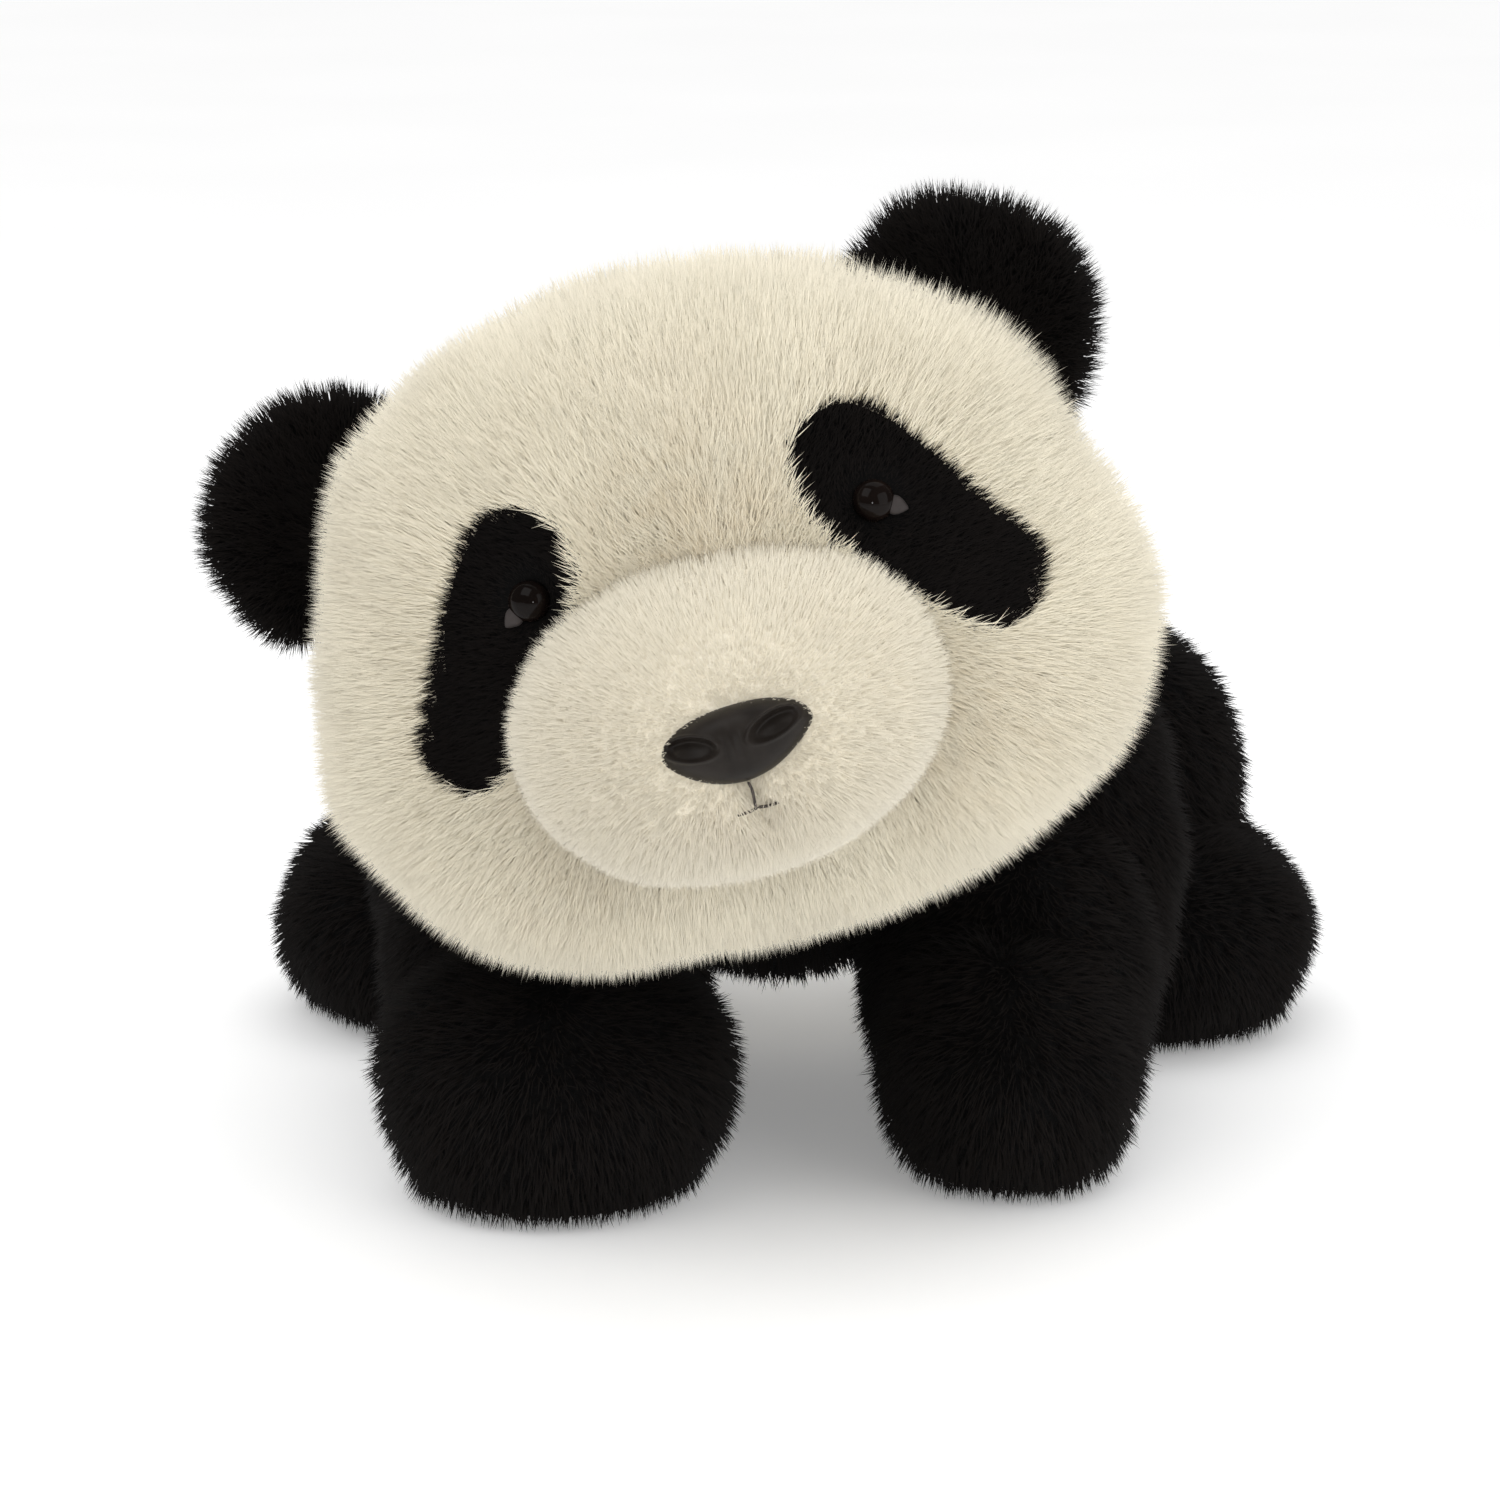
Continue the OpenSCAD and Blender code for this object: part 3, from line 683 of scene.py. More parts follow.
class PANDA_OT_muzzle(bpy.types.Operator):
    """Makes the muzzle's cover and its short pile"""
    bl_idname = "panda.make_muzzle"
    bl_label = "Muzzle"

    def execute(self, context):
        pile = context.scene.panda_pile
        rng = np.random.default_rng(131)
        points, faces = muzzle_cover()
        add_piece("muzzle_cover", head_out(points), faces, "muzzle_cover",
                  "head", "muzzle_pile", "muzzle_skin", "muzzle_stuffing", fill=0.95)

        def keep(p, margin):
            inside = np.linalg.norm(p, axis=1) < head_reach(unit(p)) - 3 - margin
            x, z = p[:, 0] / 14.6, (p[:, 2] - NOSE_AT[1]) / 6.4
            nose = (x * x + z * z < 1) & (p[:, 1] < MUZZLE_AT[1])
            return (~inside & ~nose & (p[:, 1] < -30)).astype(float)

        roots, ups = scatter(points, faces, 3.4 * pile.density, keep, rng)
        flow = roots - np.array([0.0, -106.0, NOSE_AT[1]])
        mouth = np.exp(-(roots[:, 0] / 20) ** 2 - ((roots[:, 2] + 27) / 11) ** 2)
        lean = 0.62 - 0.2 * mouth
        way = groom(roots, ups, flow, lean, 0.06 + 0.30 * mouth[:, None], 4.6, 33, rng, 0.16)
        off = np.linalg.norm(roots - on_muzzle(*NOSE_AT, 0), axis=1)
        length = pile.muzzle_length / MM * (1 + 0.35 * mouth) * rng.uniform(0.75, 1.12, len(roots)) \
            * (0.85 + 0.15 * np.clip((off - 14) / 16, 0, 1))
        width = rng.uniform(0.22, 0.36, len(roots))
        add_head_pile("muzzle_pile", "head", "muzzle_pile", "muzzle",
                      roots, ups, way, length, width, rng, 0.87)
        return {"FINISHED"}


class PANDA_OT_patches(bpy.types.Operator):
    """Makes the two black eye patches"""
    bl_idname = "panda.make_patches"
    bl_label = "Eye patches"

    def execute(self, context):
        pile = context.scene.panda_pile
        points, faces = head_cover()
        ups = vertex_normals(points, faces)
        for side, word in SIDES:
            rng = np.random.default_rng(150 + side)

            def keep(p, margin, side=side):
                return ((patch_gap(p) < 1.0 + margin * 0.3) & (p[:, 0] * side > 0)
                        & (muzzle_gap(p) > -0.03)).astype(float)

            # the patch's backing lies just over the head's cover
            shown = (patch_gap(points) < 1.8) & (points[:, 0] * side > 0)
            used, part = cut_out(faces[shown[faces].all(1)])
            outer = points[used] + ups[used] * 0.5
            inner = points[used] - ups[used] * 0.4
            sheet, wall = closed_sheet(outer, inner, part)
            add_piece(f"eye_patch_{word}_cover", head_out(sheet), wall, "black_cover",
                      "head", "black_pile", f"eye_patch_{word}")
            roots, up = scatter(points, faces, 5.0 * pile.density, keep, rng)
            eye = face_frame(*EYES[side])[0]
            off = np.linalg.norm(roots - eye, axis=1)
            flow = roots - np.array([0.0, -96.0, -14.0])
            way = groom(roots, up, flow, 0.45, 0.12, 4.5, 41, rng, 0.2)
            close = np.clip((off - 4.5) / 7.0, 0, 1)
            way = unit(way + unit(roots - eye) * (0.9 * (1 - close))[:, None])
            length = pile.patch_length / MM * (0.55 + 0.5 * close) * rng.uniform(0.75, 1.15, len(roots))
            far = off > 4.0
            width = rng.uniform(0.26, 0.4, len(roots))
            add_head_pile(f"eye_patch_{word}_pile", "head", "black_pile", "black", roots[far], up[far],
                          way[far], length[far], width[far], rng, 0.6)
        return {"FINISHED"}


def open_edges(faces, count):
    """The edges that only one triangle uses, along that triangle's direction."""
    edges = np.concatenate([faces[:, [0, 1]], faces[:, [1, 2]], faces[:, [2, 0]]])
    return edges[~np.isin(edges[:, 0] * count + edges[:, 1], edges[:, 1] * count + edges[:, 0])]


def cut_out(faces):
    """The points that some faces use, and the faces numbered over those points alone."""
    used, part = np.unique(faces, return_inverse=True)
    return used, part.reshape(-1, 3)


def closed_sheet(outer, inner, faces):
    """A thin closed sheet: the outer faces, the inner faces turned round, and a wall along the open edge."""
    count = len(outer)
    a, b = open_edges(faces, count).T
    wall = np.concatenate([np.stack([b, a, a + count], 1), np.stack([b, a + count, b + count], 1)])
    return np.concatenate([outer, inner]), np.concatenate([faces, faces[:, ::-1] + count, wall])


# ---------------------------------------------------------------- eyes, nose, mouth

def turned(profile, around, at, out):
    """A profile of radius and height turned round an axis, with its first and last points closed."""
    side = unit(np.cross(out, np.array([0.13, 0.2, 1.0])))
    other = np.cross(out, side)
    angle = np.linspace(0, 2 * math.pi, around, endpoint=False)
    r, h = np.array(profile).T
    ring = r[:, None, None] * (np.cos(angle)[None, :, None] * side + np.sin(angle)[None, :, None] * other)
    grid = at + ring + h[:, None, None] * out
    points = np.concatenate([grid.reshape(-1, 3), [at + out * h[0]], [at + out * h[-1]]])
    return points, ball_faces(around, len(profile) + 1)


class PANDA_OT_eyes(bpy.types.Operator):
    """Makes the glossy eye domes and their pale corners"""
    bl_idname = "panda.make_eyes"
    bl_label = "Eyes"

    def execute(self, context):
        radius = context.scene.panda_head.eye_size / MM / 2
        for side, word in SIDES:
            at, out = face_frame(*EYES[side])
            rise = np.linspace(0, math.pi / 2, 16)[:-1]
            dome = [(radius * math.cos(a), 0.2 + radius * 0.74 * math.sin(a)) for a in rise]
            back = [(2.4, -10.0), (2.5, -9.6), (2.5, -2.0), (radius * 0.97, -1.7), (radius * 1.03, -0.9)]
            profile = back + dome + [(0.35, 0.2 + radius * 0.74)]
            points, faces = turned(profile, 48, at, out)
            add_piece(f"eye_{word}_dome", head_out(points), faces, "eye",
                      "head", "eye_gloss", f"eye_{word}")
            corner, wall = almond(side, at, out, radius)
            add_piece(f"eye_{word}_corner", head_out(corner), wall, "corner",
                      "head", "eye_corner", f"eye_corner_{word}")
        return {"FINISHED"}


def almond(side, at, out, radius):
    """The pale corner: a pillow pointed at its outer end, beside the dome and below its middle."""
    d = directions(32, 20, "z")
    across = unit(np.cross(np.array([0, 0, 1.0]), out)) * side
    across = across if across[0] * side > 0 else -across
    down = -unit(np.cross(out, across)) * side
    down = down if down[2] < 0 else -down
    run = unit(across * 0.82 + down * 0.57)
    wide = unit(np.cross(out, run))
    narrow = 1 - 0.55 * np.clip(d[:, 0], 0, 1) ** 1.5
    p = run * (d[:, 0] * 3.0)[:, None] + wide * (d[:, 1] * 2.2 * narrow)[:, None] \
        + out * (d[:, 2] * 1.3)[:, None]
    points = at + run * (radius + 0.1) + out * 0.9 + p
    faces = ball_faces(32, 20)
    flip = np.linalg.det(np.stack([run, wide, out])) < 0
    return points, faces[:, ::-1] if flip else faces


def nose_outline(angle):
    """The nose's outline: a wide arch above, and straight sides below that draw in to a narrow flat foot."""
    x, z = np.abs(np.cos(angle)), np.sin(angle)
    low = z < 0
    half = np.where(low, 0.62, 0.42)
    power = np.where(low, 1.32, 2.3)
    reach = (x ** power + (np.abs(z) / half) ** power) ** (-1 / power)
    foot = 0.56 / np.maximum(np.abs(z), 1e-3)
    return np.where(low, (reach ** -9 + foot ** -9) ** (-1 / 9), reach)


def nose_surface(x, z):
    """Height of the nose, and of its two nostrils: rimmed slanting hollows, deepest at their upper side."""
    height = np.zeros_like(x)
    for side in (LEFT, RIGHT):
        tilt = math.radians(18) * side
        u = (x - side * 9.3) * math.cos(tilt) + (z - 0.2) * math.sin(tilt)
        v = -(x - side * 9.3) * math.sin(tilt) + (z - 0.2) * math.cos(tilt)
        r = np.sqrt((u / 6.0) ** 2 + (v / 2.6) ** 2)
        pit = 1 / (1 + np.exp((r - 0.86) / 0.07))
        deep = 2.1 + 0.55 * v
        rim = np.exp(-((r - 1.09) / 0.13) ** 2)
        height = height - pit * np.clip(deep, 0.7, 4) + rim * 0.6
    ridge = np.exp(-(x / 0.8) ** 2) * np.exp(-((z + 2.2) / 3.6) ** 2) * 0.42
    groove = np.exp(-((np.abs(x) - 1.9) / 1.0) ** 2) * np.exp(-((z + 2.6) / 3.6) ** 2) * 0.45
    return height + ridge - groove


class PANDA_OT_nose(bpy.types.Operator):
    """Makes the moulded nose with its nostrils"""
    bl_idname = "panda.make_nose"
    bl_label = "Nose"

    def execute(self, context):
        half = context.scene.panda_head.nose_width / MM / 2
        around, rings = 224, 110
        angle = np.linspace(0, 2 * math.pi, around, endpoint=False)[None]
        s = np.linspace(1, 0, rings + 1)[:-1, None]
        reach = nose_outline(angle) * half
        x, z = s * reach * np.cos(angle), s * reach * np.sin(angle)
        front = 6.0 * (1 - s ** 3.2) ** 0.62 + 1.0
        y = -(front + nose_surface(x, z) * np.clip((1 - s) * 6, 0, 1))
        bow = (x / half) ** 2 * 3.4 + (np.abs(z) / half) ** 2 * 2.4
        face = np.stack([x, y + bow, z], -1).reshape(-1, 3)
        back = np.stack([x[:1] * 0.9, y[:1] + bow[:1] + 5.0, z[:1] * 0.9], -1).reshape(-1, 3)
        tip = np.array([[0, -7.0 - nose_surface(np.zeros(1), np.zeros(1))[0], 0]])
        points = np.concatenate([back, face, [[0, 4.0, 0]], tip])
        tilt = turn("x", -16)
        points = points @ tilt.T
        at = np.array([NOSE_AT[0], MUZZLE_AT[1] - MUZZLE_SIZE[1] + 2.6, NOSE_AT[1]])
        faces = ball_faces(around, rings + 2)
        add_piece("nose_moulding", head_out(points + at), faces[:, ::-1], "nose",
                  "head", "nose_plastic", "nose")
        return {"FINISHED"}


def tube(path, radius, around=10):
    """A closed round tube along a path: rings square to the path, drawn in at both ends."""
    path = np.array(path, float)
    along = unit(np.gradient(path, axis=0))
    side = unit(np.cross(along, np.array([0.3, 0.9, 0.1])))
    other = np.cross(along, side)
    angle = np.linspace(0, 2 * math.pi, around, endpoint=False)
    r = np.full(len(path), radius)
    r[0] = r[-1] = radius * 0.4
    ring = (np.cos(angle)[None, :, None] * side[:, None] + np.sin(angle)[None, :, None] * other[:, None])
    grid = path[:, None] + ring * r[:, None, None]
    points = np.concatenate([grid.reshape(-1, 3), path[:1], path[-1:]])
    return points, ball_faces(around, len(path) + 1)


def joined(parts):
    """Several meshes as one."""
    points, faces, start = [], [], 0
    for p, f in parts:
        points.append(p)
        faces.append(f + start)
        start += len(p)
    return np.concatenate(points), np.concatenate(faces)


def on_muzzle(x, z, lift):
    """A place on the muzzle's front at a place across and up, lifted off its cover."""
    q = 1 - (abs(x - MUZZLE_AT[0]) / MUZZLE_SIZE[0]) ** MUZZLE_FULL \
        - (abs(z - MUZZLE_AT[2]) / MUZZLE_SIZE[2]) ** MUZZLE_FULL
    return np.array([x, MUZZLE_AT[1] - MUZZLE_SIZE[1] * max(q, 0) ** (1 / MUZZLE_FULL) - lift, z])


class PANDA_OT_mouth(bpy.types.Operator):
    """Makes the stitched thread of the mouth"""
    bl_idname = "panda.make_mouth"
    bl_label = "Mouth"

    def execute(self, context):
        top, fork = NOSE_AT[1] - 9.0, NOSE_AT[1] - 15.5
        t = np.linspace(0, 1, 14)
        runs = [[on_muzzle(0.25 * math.sin(5 * k), top + (fork - top) * k, 1.8) for k in t]]
        for side in (LEFT, RIGHT):
            runs.append([on_muzzle(side * 5.0 * k, fork - 1.8 * k + 1.0 * k * k, 1.8 - 1.6 * k) for k in t])
        points, faces = joined([tube(run, 0.34) for run in runs])
        add_piece("mouth_thread", head_out(points), faces, "thread",
                  "head", "thread_dark", "mouth_stitch")
        return {"FINISHED"}


# ---------------------------------------------------------------- ears

def ear_axes(side):
    """The ear's own axes in the head's axes: across, through and up."""
    return turn("y", side * EAR_LEAN) @ turn("z", side * -14)


class PANDA_OT_ears(bpy.types.Operator):
    """Makes the two round ears and their pile"""
    bl_idname = "panda.make_ears"
    bl_label = "Ears"

    def execute(self, context):
        pile = context.scene.panda_pile
        for side, word in SIDES:
            radius = context.scene.panda_head.ear_radius / MM + EAR_FULLER[side]
            rng = np.random.default_rng(170 + side)
            d = directions(*EAR_GRID, "z")
            p = d * (np.abs(d / np.array([radius, 6.0, radius])) ** 2.2).sum(1)[:, None] ** (-1 / 2.2)
            cup = (1 - (p[:, 0] / radius) ** 2 - (p[:, 2] / radius) ** 2)
            p[:, 1] = p[:, 1] + 3.5 * np.clip(cup, 0, 1) - 1.5
            p[:, 2] = np.where(p[:, 2] < -8, -8 + (p[:, 2] + 8) * 0.35, p[:, 2])
            axes = ear_axes(side)
            at = EARS[side]
            faces = ball_faces(*EAR_GRID)
            p = plush(p, faces, 0.4, 18.0, 61 + side)
            points = at + p @ axes.T
            add_piece(f"ear_{word}_cover", head_out(points), faces, "black_cover",
                      f"ear_{word}", "black_pile", f"ear_{word}_front", f"ear_{word}_back", fill=0.5)
            roots, ups = scatter(points, faces, 3.6 * pile.density,
                                 lambda q, margin: np.ones(len(q)), rng, 16000)
            own = (roots - at) @ axes
            flow = (np.stack([own[:, 0], own[:, 1] * 0.2, own[:, 2] + 9], 1)) @ axes.T
            rim = np.clip(np.linalg.norm(own[:, [0, 2]], axis=1) / radius, 0, 1) ** 2
            way = groom(roots, ups, flow, 0.8 - 0.4 * rim, 0.16, 6.0, 71, rng, 0.2)
            length = pile.black_length / MM * rng.uniform(0.7, 1.12, len(roots))
            width = rng.uniform(0.32, 0.48, len(roots))
            add_head_pile(f"ear_{word}_pile", f"ear_{word}", "black_pile", "black", roots, ups, way,
                          length, width, rng, 0.55)
        return {"FINISHED"}


# ---------------------------------------------------------------- body

BAND_Y = 71.0                  # the seam between black shoulders and cream back
TORSO_START = (0.0, BAND_Y, 106.0)
TORSO_LOBES = (
    (np.array([0, 24, 101]), (58, 46, 63)),
    (np.array([0, 50, 106]), (62, 66, 68)),
    (np.array([0, 92, 106]), (65, 74, 68)),
    (np.array([0, 126, 104]), (64, 56, 63)),
)
NECK_AT = np.array([2.0, -28.0, 122.0])


def torso_cover(front):
    """Half of the torso's cover, cut flat at the seam and closed there."""
    around, along = 112, 72
    d = directions(around, along, "y")
    points = np.array(TORSO_START) + d * lobe_reach(d, TORSO_LOBES, TORSO_START)[:, None]
    faces = ball_faces(around, along)
    points = plush(points, faces, 0.8, 55.0, 81)
    edge = BAND_Y - 0.05 if front else BAND_Y + 0.05
    points[:, 1] = np.minimum(points[:, 1], edge) if front else np.maximum(points[:, 1], edge)
    depth = points[faces][:, :, 1]
    keep = (depth < edge - 1e-6).any(1) if front else (depth > edge + 1e-6).any(1)
    used, part = cut_out(faces[keep])
    shell = points[used]
    a, b = open_edges(part, len(shell)).T
    cap = np.stack([b, a, np.full(len(a), len(shell))], 1)
    middle = np.array([[0, edge, TORSO_START[2]]])
    return np.concatenate([shell, middle]), np.concatenate([part, cap])


def add_pile(name, body, slot, finish, points, faces, per_mm2, flow, lean, length, seed, keep=None,
             most=49500, width=(0.40, 0.60), floor=None, clump=0.16, size=8.0, soft=0.65):
    """Pile over a cover, groomed along a flow given at each root."""
    rng = np.random.default_rng(seed)
    density = bpy.context.scene.panda_pile.density
    roots, ups = scatter(points, faces, per_mm2 * density,
                         keep or (lambda p, margin: np.ones(len(p))), rng, most)
    way = groom(roots, ups, flow(roots), lean, clump, size, seed + 1, rng, 0.17)
    reach = length / MM * rng.uniform(0.7, 1.12, len(roots))
    if floor is not None:
        reach = reach * np.clip(0.35 + roots[:, 2] / 10, 0.35, 1)
    piece = new_pile(name, roots, ups, way, reach, rng.uniform(*width, len(roots)),
                     material(finish), rng, floor=floor, soft=soft)
    return place(piece, body, slot)


class PANDA_OT_torso(bpy.types.Operator):
    """Makes the black shoulders, the cream back and the soft neck"""
    bl_idname = "panda.make_torso"
    bl_label = "Torso and neck"

    def execute(self, context):
        pile = context.scene.panda_pile

        def flow(p):
            return np.array([0, 1.0, -0.25]) + (p - TORSO_START) * np.array([0.002, 0, 0.004])

        points, faces = torso_cover(True)
        add_piece("shoulder_cover", points, faces, "black_cover",
                  "torso", "black_pile", "shoulder_skin", "torso_stuffing", fill=0.95)
        add_pile("shoulder_pile", "torso", "black_pile", "black", points, faces, 0.7, flow, 0.95,
                 pile.black_length, 201, lambda p, m: (p[:, 1] < BAND_Y - 0.5 + m).astype(float))
        points, faces = torso_cover(False)
        add_piece("back_cover", points, faces, "cream_cover",
                  "torso", "cream_pile", "back_skin", fill=0.95)
        for k, (name, part) in enumerate((("back_pile_left", 1), ("back_pile_right", -1))):
            add_pile(name, "torso", "cream_pile", "coat", points, faces, 0.72, flow, 0.95,
                     pile.coat_length, 211 + 4 * k,
                     lambda p, m, part=part: ((p[:, 1] > BAND_Y + 0.5 - m)
                                              & (p[:, 0] * part > 0)).astype(float),
                     width=(0.46, 0.68), soft=0.75)
        stitches()
        d = directions(72, 40, "y")
        neck = NECK_AT + d * lobe_reach(d, ((NECK_AT, (50, 40, 46)),), NECK_AT)[:, None]
        faces = ball_faces(72, 40)
        add_piece("neck_cover", neck, faces, "black_cover",
                  "neck_outer", "black_pile", "neck_sleeve", "neck_stuffing", fill=0.9)
        add_pile("neck_pile", "neck_outer", "black_pile", "black", neck, faces, 0.36, flow, 0.95,
                 pile.black_length, 221)
        return {"FINISHED"}


def stitches():
    """The closing seam: short thread loops across the belly's middle."""
    parts = []
    for k in range(9):
        y = BAND_Y + 8 + 4.5 * k
        x = np.linspace(-2.8, 2.8, 9)
        z = 39.6 - 1.1 * (1 - (x / 2.8) ** 2)
        parts.append(tube(np.stack([x, y + x * 0.35, z], 1), 0.45, 8))
    points, faces = joined(parts)
    add_piece("closing_stitches", points, faces, "cream_thread",
              "torso", "thread_cream", "closing_seam")


# ---------------------------------------------------------------- legs and tail

def leg_form(start, lobes, seed):
    """A leg and its foot as one lobed form, flattened where it stands on the floor."""
    points, faces = lobed(start, lobes, *HEAD_GRID, sharp=11.0)
    points = plush(points, faces, 0.9, 34.0, seed)
    low = points[:, 2]
    points[:, 2] = np.where(low < 6, 0.9 + 5.1 * np.exp((low - 6) / 5.1), low)
    return points, faces


def sole_form(points):
    """A flat pad under the foot: it follows the cover's outline near the floor, 3 mm inside it."""
    low = points[points[:, 2] < 2.6, :2]
    centre = (low.min(0) + low.max(0)) / 2
    out = low - centre
    angle = np.linspace(0, 2 * math.pi, 64, endpoint=False)
    bearing = np.arctan2(out[:, 1], out[:, 0])[None]
    off = np.abs((bearing - angle[:, None] + math.pi) % (2 * math.pi) - math.pi)
    reach = np.where(off < 0.16, np.linalg.norm(out, axis=1)[None], 0).max(1)
    for _ in range(3):
        reach = (np.roll(reach, 1) + 2 * reach + np.roll(reach, -1)) / 4
    reach = reach - 3.0
    rings = []
    for share, z in ((0.5, 1.6), (0.96, 1.6), (1.0, 1.0), (0.98, 0.25), (0.94, 0.0), (0.5, 0.0)):
        rings.append(np.stack([centre[0] + reach * share * np.cos(angle),
                               centre[1] + reach * share * np.sin(angle), np.full(64, z)], 1))
    ends = [[centre[0], centre[1], 1.6], [centre[0], centre[1], 0.0]]
    return np.concatenate(rings + [ends]), ball_faces(64, 7)[:, ::-1]


LEGS = {
    "foreleg_left": ((60, -8, 42), (((61, 29, 64), (41, 38, 65)), ((60, -2, 44), (35, 42, 42)),
                                    ((61, -32, 28), (30, 41, 34)))),
    "foreleg_right": ((-52, -14, 42), (((-62, 27, 64), (39.5, 39, 65)), ((-56, -14, 46), (38, 44, 43)),
                                       ((-49, -55, 28), (41, 42, 36)))),
    "hindleg_left": ((86, 124, 40), (((79, 133, 58), (42, 42, 51)), ((99, 113, 25), (41, 52, 32)))),
    "hindleg_right": ((-86, 124, 40), (((-79, 133, 58), (42, 42, 51)), ((-99, 113, 25), (41, 52, 32)))),
}


class PANDA_OT_legs(bpy.types.Operator):
    """Makes the four legs with their soles and pile"""
    bl_idname = "panda.make_legs"
    bl_label = "Legs"

    def execute(self, context):
        pile = context.scene.panda_pile
        for number, (leg, (start, lobes)) in enumerate(LEGS.items()):
            seed = 300 + 10 * number
            points, faces = leg_form(start, [(np.array(c, float), r) for c, r in lobes], seed)
            add_piece(f"{leg}_cover", points, faces, "black_cover",
                      leg, "black_pile", f"{leg}_skin", f"{leg}_stuffing", fill=0.95)
            sole, wall = sole_form(points)
            add_piece(f"{leg}_pad", sole, wall, "sole",
                      leg, "black_pile", f"{leg}_sole")
            toe = np.array(lobes[-1][0], float) + np.array([0, -lobes[-1][1][1] * 0.6, 10])

            def flow(p, toe=toe):
                near_toe = np.exp(-(np.linalg.norm(p - toe, axis=1) / 28) ** 2)[:, None]
                return np.array([0, -0.25, -1.0]) + unit(p - toe) * 1.3 * near_toe

            add_pile(f"{leg}_pile", leg, "black_pile", "black", points, faces, 0.8, flow, 0.75,
                     pile.black_length, seed + 2, lambda p, m: (p[:, 2] > 1.2).astype(float),
                     floor=0.35)
        return {"FINISHED"}


TAIL_AT = np.array([0.0, 177.0, 112.0])


class PANDA_OT_tail(bpy.types.Operator):
    """Makes the short round tail"""
    bl_idname = "panda.make_tail"
    bl_label = "Tail"

    def execute(self, context):
        pile = context.scene.panda_pile
        lobes = ((TAIL_AT, (12, 12, 14)), (TAIL_AT + np.array([0, 9, 0]), (12.5, 13, 15)))
        points, faces = lobed(TAIL_AT + np.array([0, 4, 0]), lobes, 56, 36, "y")
        add_piece("tail_cover", points, faces, "cream_cover",
                  "tail", "cream_pile", "tail_skin", "tail_stuffing", fill=0.9)
        add_pile("tail_pile", "tail", "cream_pile", "coat", points, faces, 2.2,
                 lambda p: np.array([0, 1.0, -0.4]) + (p - TAIL_AT) * 0.02, 0.7,
                 pile.coat_length * 0.85, 401, width=(0.4, 0.58), soft=0.75)
        return {"FINISHED"}


# ---------------------------------------------------------------- inner pieces and stage

class PANDA_OT_inner(bpy.types.Operator):
    """Gives the hidden washers, pellet bags and fill their finishes"""
    bl_idname = "panda.finish_inner"
    bl_label = "Inner pieces"

    def execute(self, context):
        finishes = (("washer", "washer"), ("pellets", "pellets"), ("stuffing", "fill"))
        for name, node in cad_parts.items():
            for word, key in finishes:
                if word in name:
                    node.data.materials.clear()
                    node.data.materials.append(material(key))
        return {"FINISHED"}


def area_light(name, at, aim, size, power, colour=(1, 1, 1)):
    """A soft square light that faces a point."""
    lamp = bpy.data.lights.new(name, "AREA")
    lamp.shape = "RECTANGLE"
    lamp.size, lamp.size_y = size
    lamp.energy = power
    lamp.color = colour
    thing = bpy.data.objects.new(name, lamp)
    bpy.context.scene.collection.objects.link(thing)
    thing.location = at
    way = np.array(aim, float) - np.array(at, float)
    thing.rotation_mode = "QUATERNION"
    thing.rotation_quaternion = look(way)
    return thing


def look(way):
    """The turn that points an object's -Z along a direction."""
    return Vector(way).to_track_quat("-Z", "Y")


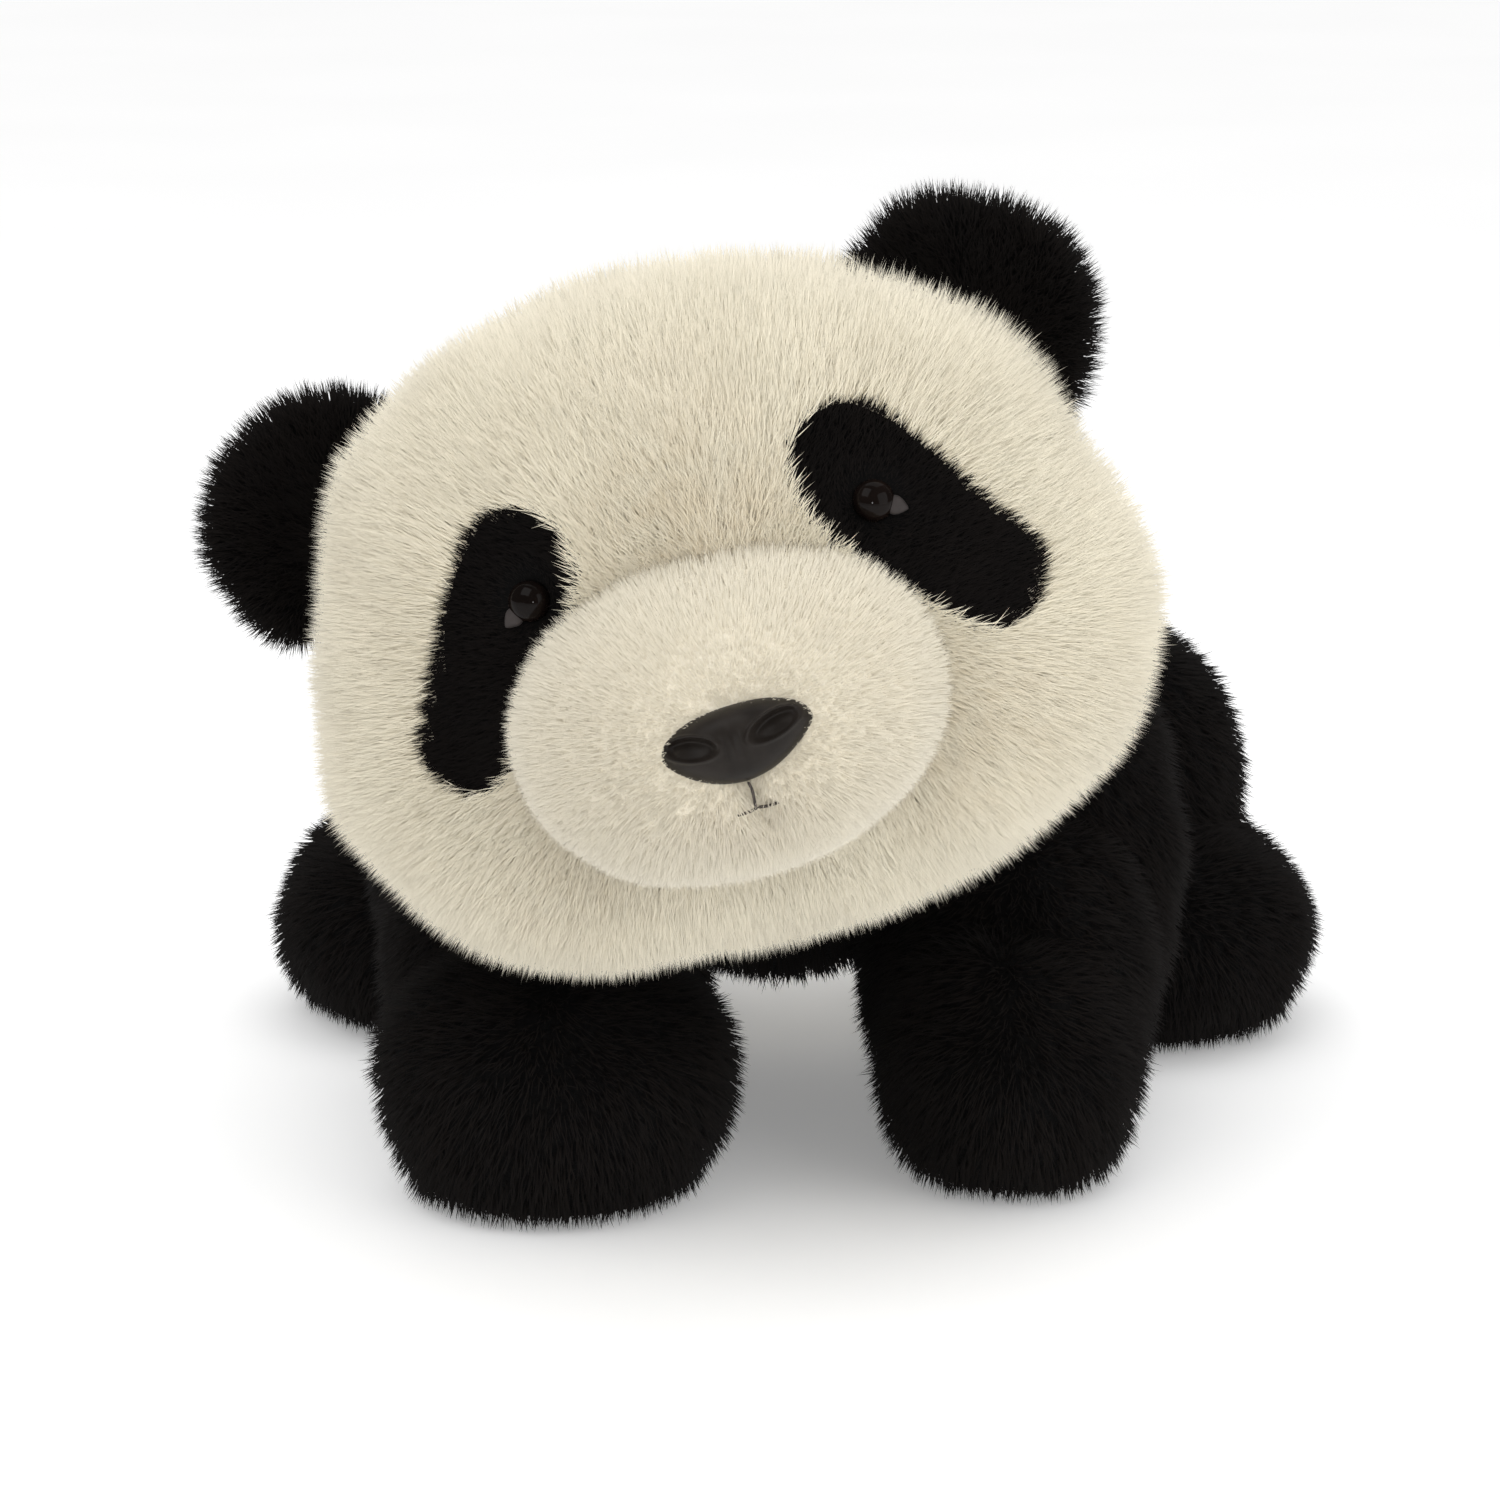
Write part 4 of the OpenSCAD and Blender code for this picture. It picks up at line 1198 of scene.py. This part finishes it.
class PANDA_OT_stage(bpy.types.Operator):
    """Makes the floor, the studio light and the camera"""
    bl_idname = "panda.make_stage"
    bl_label = "Stage"

    def execute(self, context):
        s = context.scene.panda_stage
        white, tree, shader = nodes_of("floor_white")
        soft = spread_range(tree, noise(tree, 3.0, 2.0), 0.3, 0.7, 0.0, 1.0)
        link(tree, mix(tree, soft, (0.83, 0.83, 0.83), (0.845, 0.845, 0.845)), shader.inputs["Base Color"])
        # a lit table: the floor glows faintly, which keeps the shadows pale
        set_values(shader, {"Emission Color": (1, 1, 1, 1), "Emission Strength": 0.22 * s.light,
                            "Roughness": 0.6, "Specular IOR Level": 0.2})
        reach = 40000.0
        grid = np.array([[x, y, 0.0] for y in (-reach, reach) for x in (-reach, reach)])
        floor = new_piece("floor", grid, np.array([[0, 1, 3], [0, 3, 2]]), white, smooth=False)

        world = bpy.data.worlds.new("studio")
        context.scene.world = world
        world.use_nodes = True
        sky = world.node_tree.nodes["Background"]
        sky.inputs[0].default_value = (1, 1, 1, 1)
        # glossy pieces see a dim room, so that only the lamps show in them
        shiny = world.node_tree.nodes.new("ShaderNodeLightPath").outputs["Is Glossy Ray"]
        dim = spread_range(world.node_tree, shiny, 0.0, 1.0, 1.02 * s.light, 0.10 * s.light)
        world.node_tree.links.new(dim, sky.inputs[1])
        aim = (0, 0, 0.10)
        area_light("key", (-0.55, -0.8, 1.2), aim, (0.9, 0.9), 4.0 * s.light)
        area_light("fill", (1.0, -0.8, 0.6), aim, (1.0, 1.0), 4.0 * s.light)
        area_light("spark", (0.12, -1.25, 0.30), (0, -0.1, 0.16), (0.05, 0.10), 0.8 * s.light)
        area_light("top", (0.1, 0.25, 1.4), aim, (1.2, 1.0), 3.0 * s.light)

        target = np.array([-5.0, -3.0, 99.0]) * MM
        back = np.array([math.sin(s.turn) * math.cos(s.tilt), -math.cos(s.turn) * math.cos(s.tilt),
                         math.sin(s.tilt)])
        lens = bpy.data.cameras.new("camera")
        lens.lens = s.lens
        lens.sensor_width = 36.0
        lens.clip_start, lens.clip_end = 0.05, 200.0
        camera = bpy.data.objects.new("camera", lens)
        context.scene.collection.objects.link(camera)
        camera.location = target + back * s.distance
        camera.rotation_mode = "QUATERNION"
        camera.rotation_quaternion = look(-back)
        context.scene.camera = camera
        context.scene.view_settings.view_transform = "Standard"
        return {"FINISHED"}


OPERATORS = (
    PANDA_OT_head, PANDA_OT_muzzle, PANDA_OT_patches, PANDA_OT_eyes, PANDA_OT_nose, PANDA_OT_mouth,
    PANDA_OT_ears, PANDA_OT_torso, PANDA_OT_legs, PANDA_OT_tail, PANDA_OT_inner, PANDA_OT_stage,
)


class PANDA_PT_panel(bpy.types.Panel):
    """Lists the toy's settings and the buttons that make its pieces"""
    bl_idname = "PANDA_PT_panel"
    bl_label = "Plush Panda"
    bl_space_type = "VIEW_3D"
    bl_region_type = "UI"
    bl_category = "Panda"

    def draw(self, context):
        for key, group in GROUPS:
            box = self.layout.box()
            for prop in group.__annotations__:
                box.prop(getattr(context.scene, key), prop)
        for operator in OPERATORS:
            self.layout.operator(operator.bl_idname)


def register():
    for key, group in GROUPS:
        bpy.utils.register_class(group)
        setattr(bpy.types.Scene, key, bpy.props.PointerProperty(type=group))
    for kind in (*OPERATORS, PANDA_PT_panel):
        bpy.utils.register_class(kind)


def unregister():
    for kind in reversed((*OPERATORS, PANDA_PT_panel)):
        bpy.utils.unregister_class(kind)
    for key, group in reversed(GROUPS):
        delattr(bpy.types.Scene, key)
        bpy.utils.unregister_class(group)


def main():
    register()
    for operator in OPERATORS:
        group, name = operator.bl_idname.split(".")
        getattr(getattr(bpy.ops, group), name)()


if __name__ == "__main__":
    main()
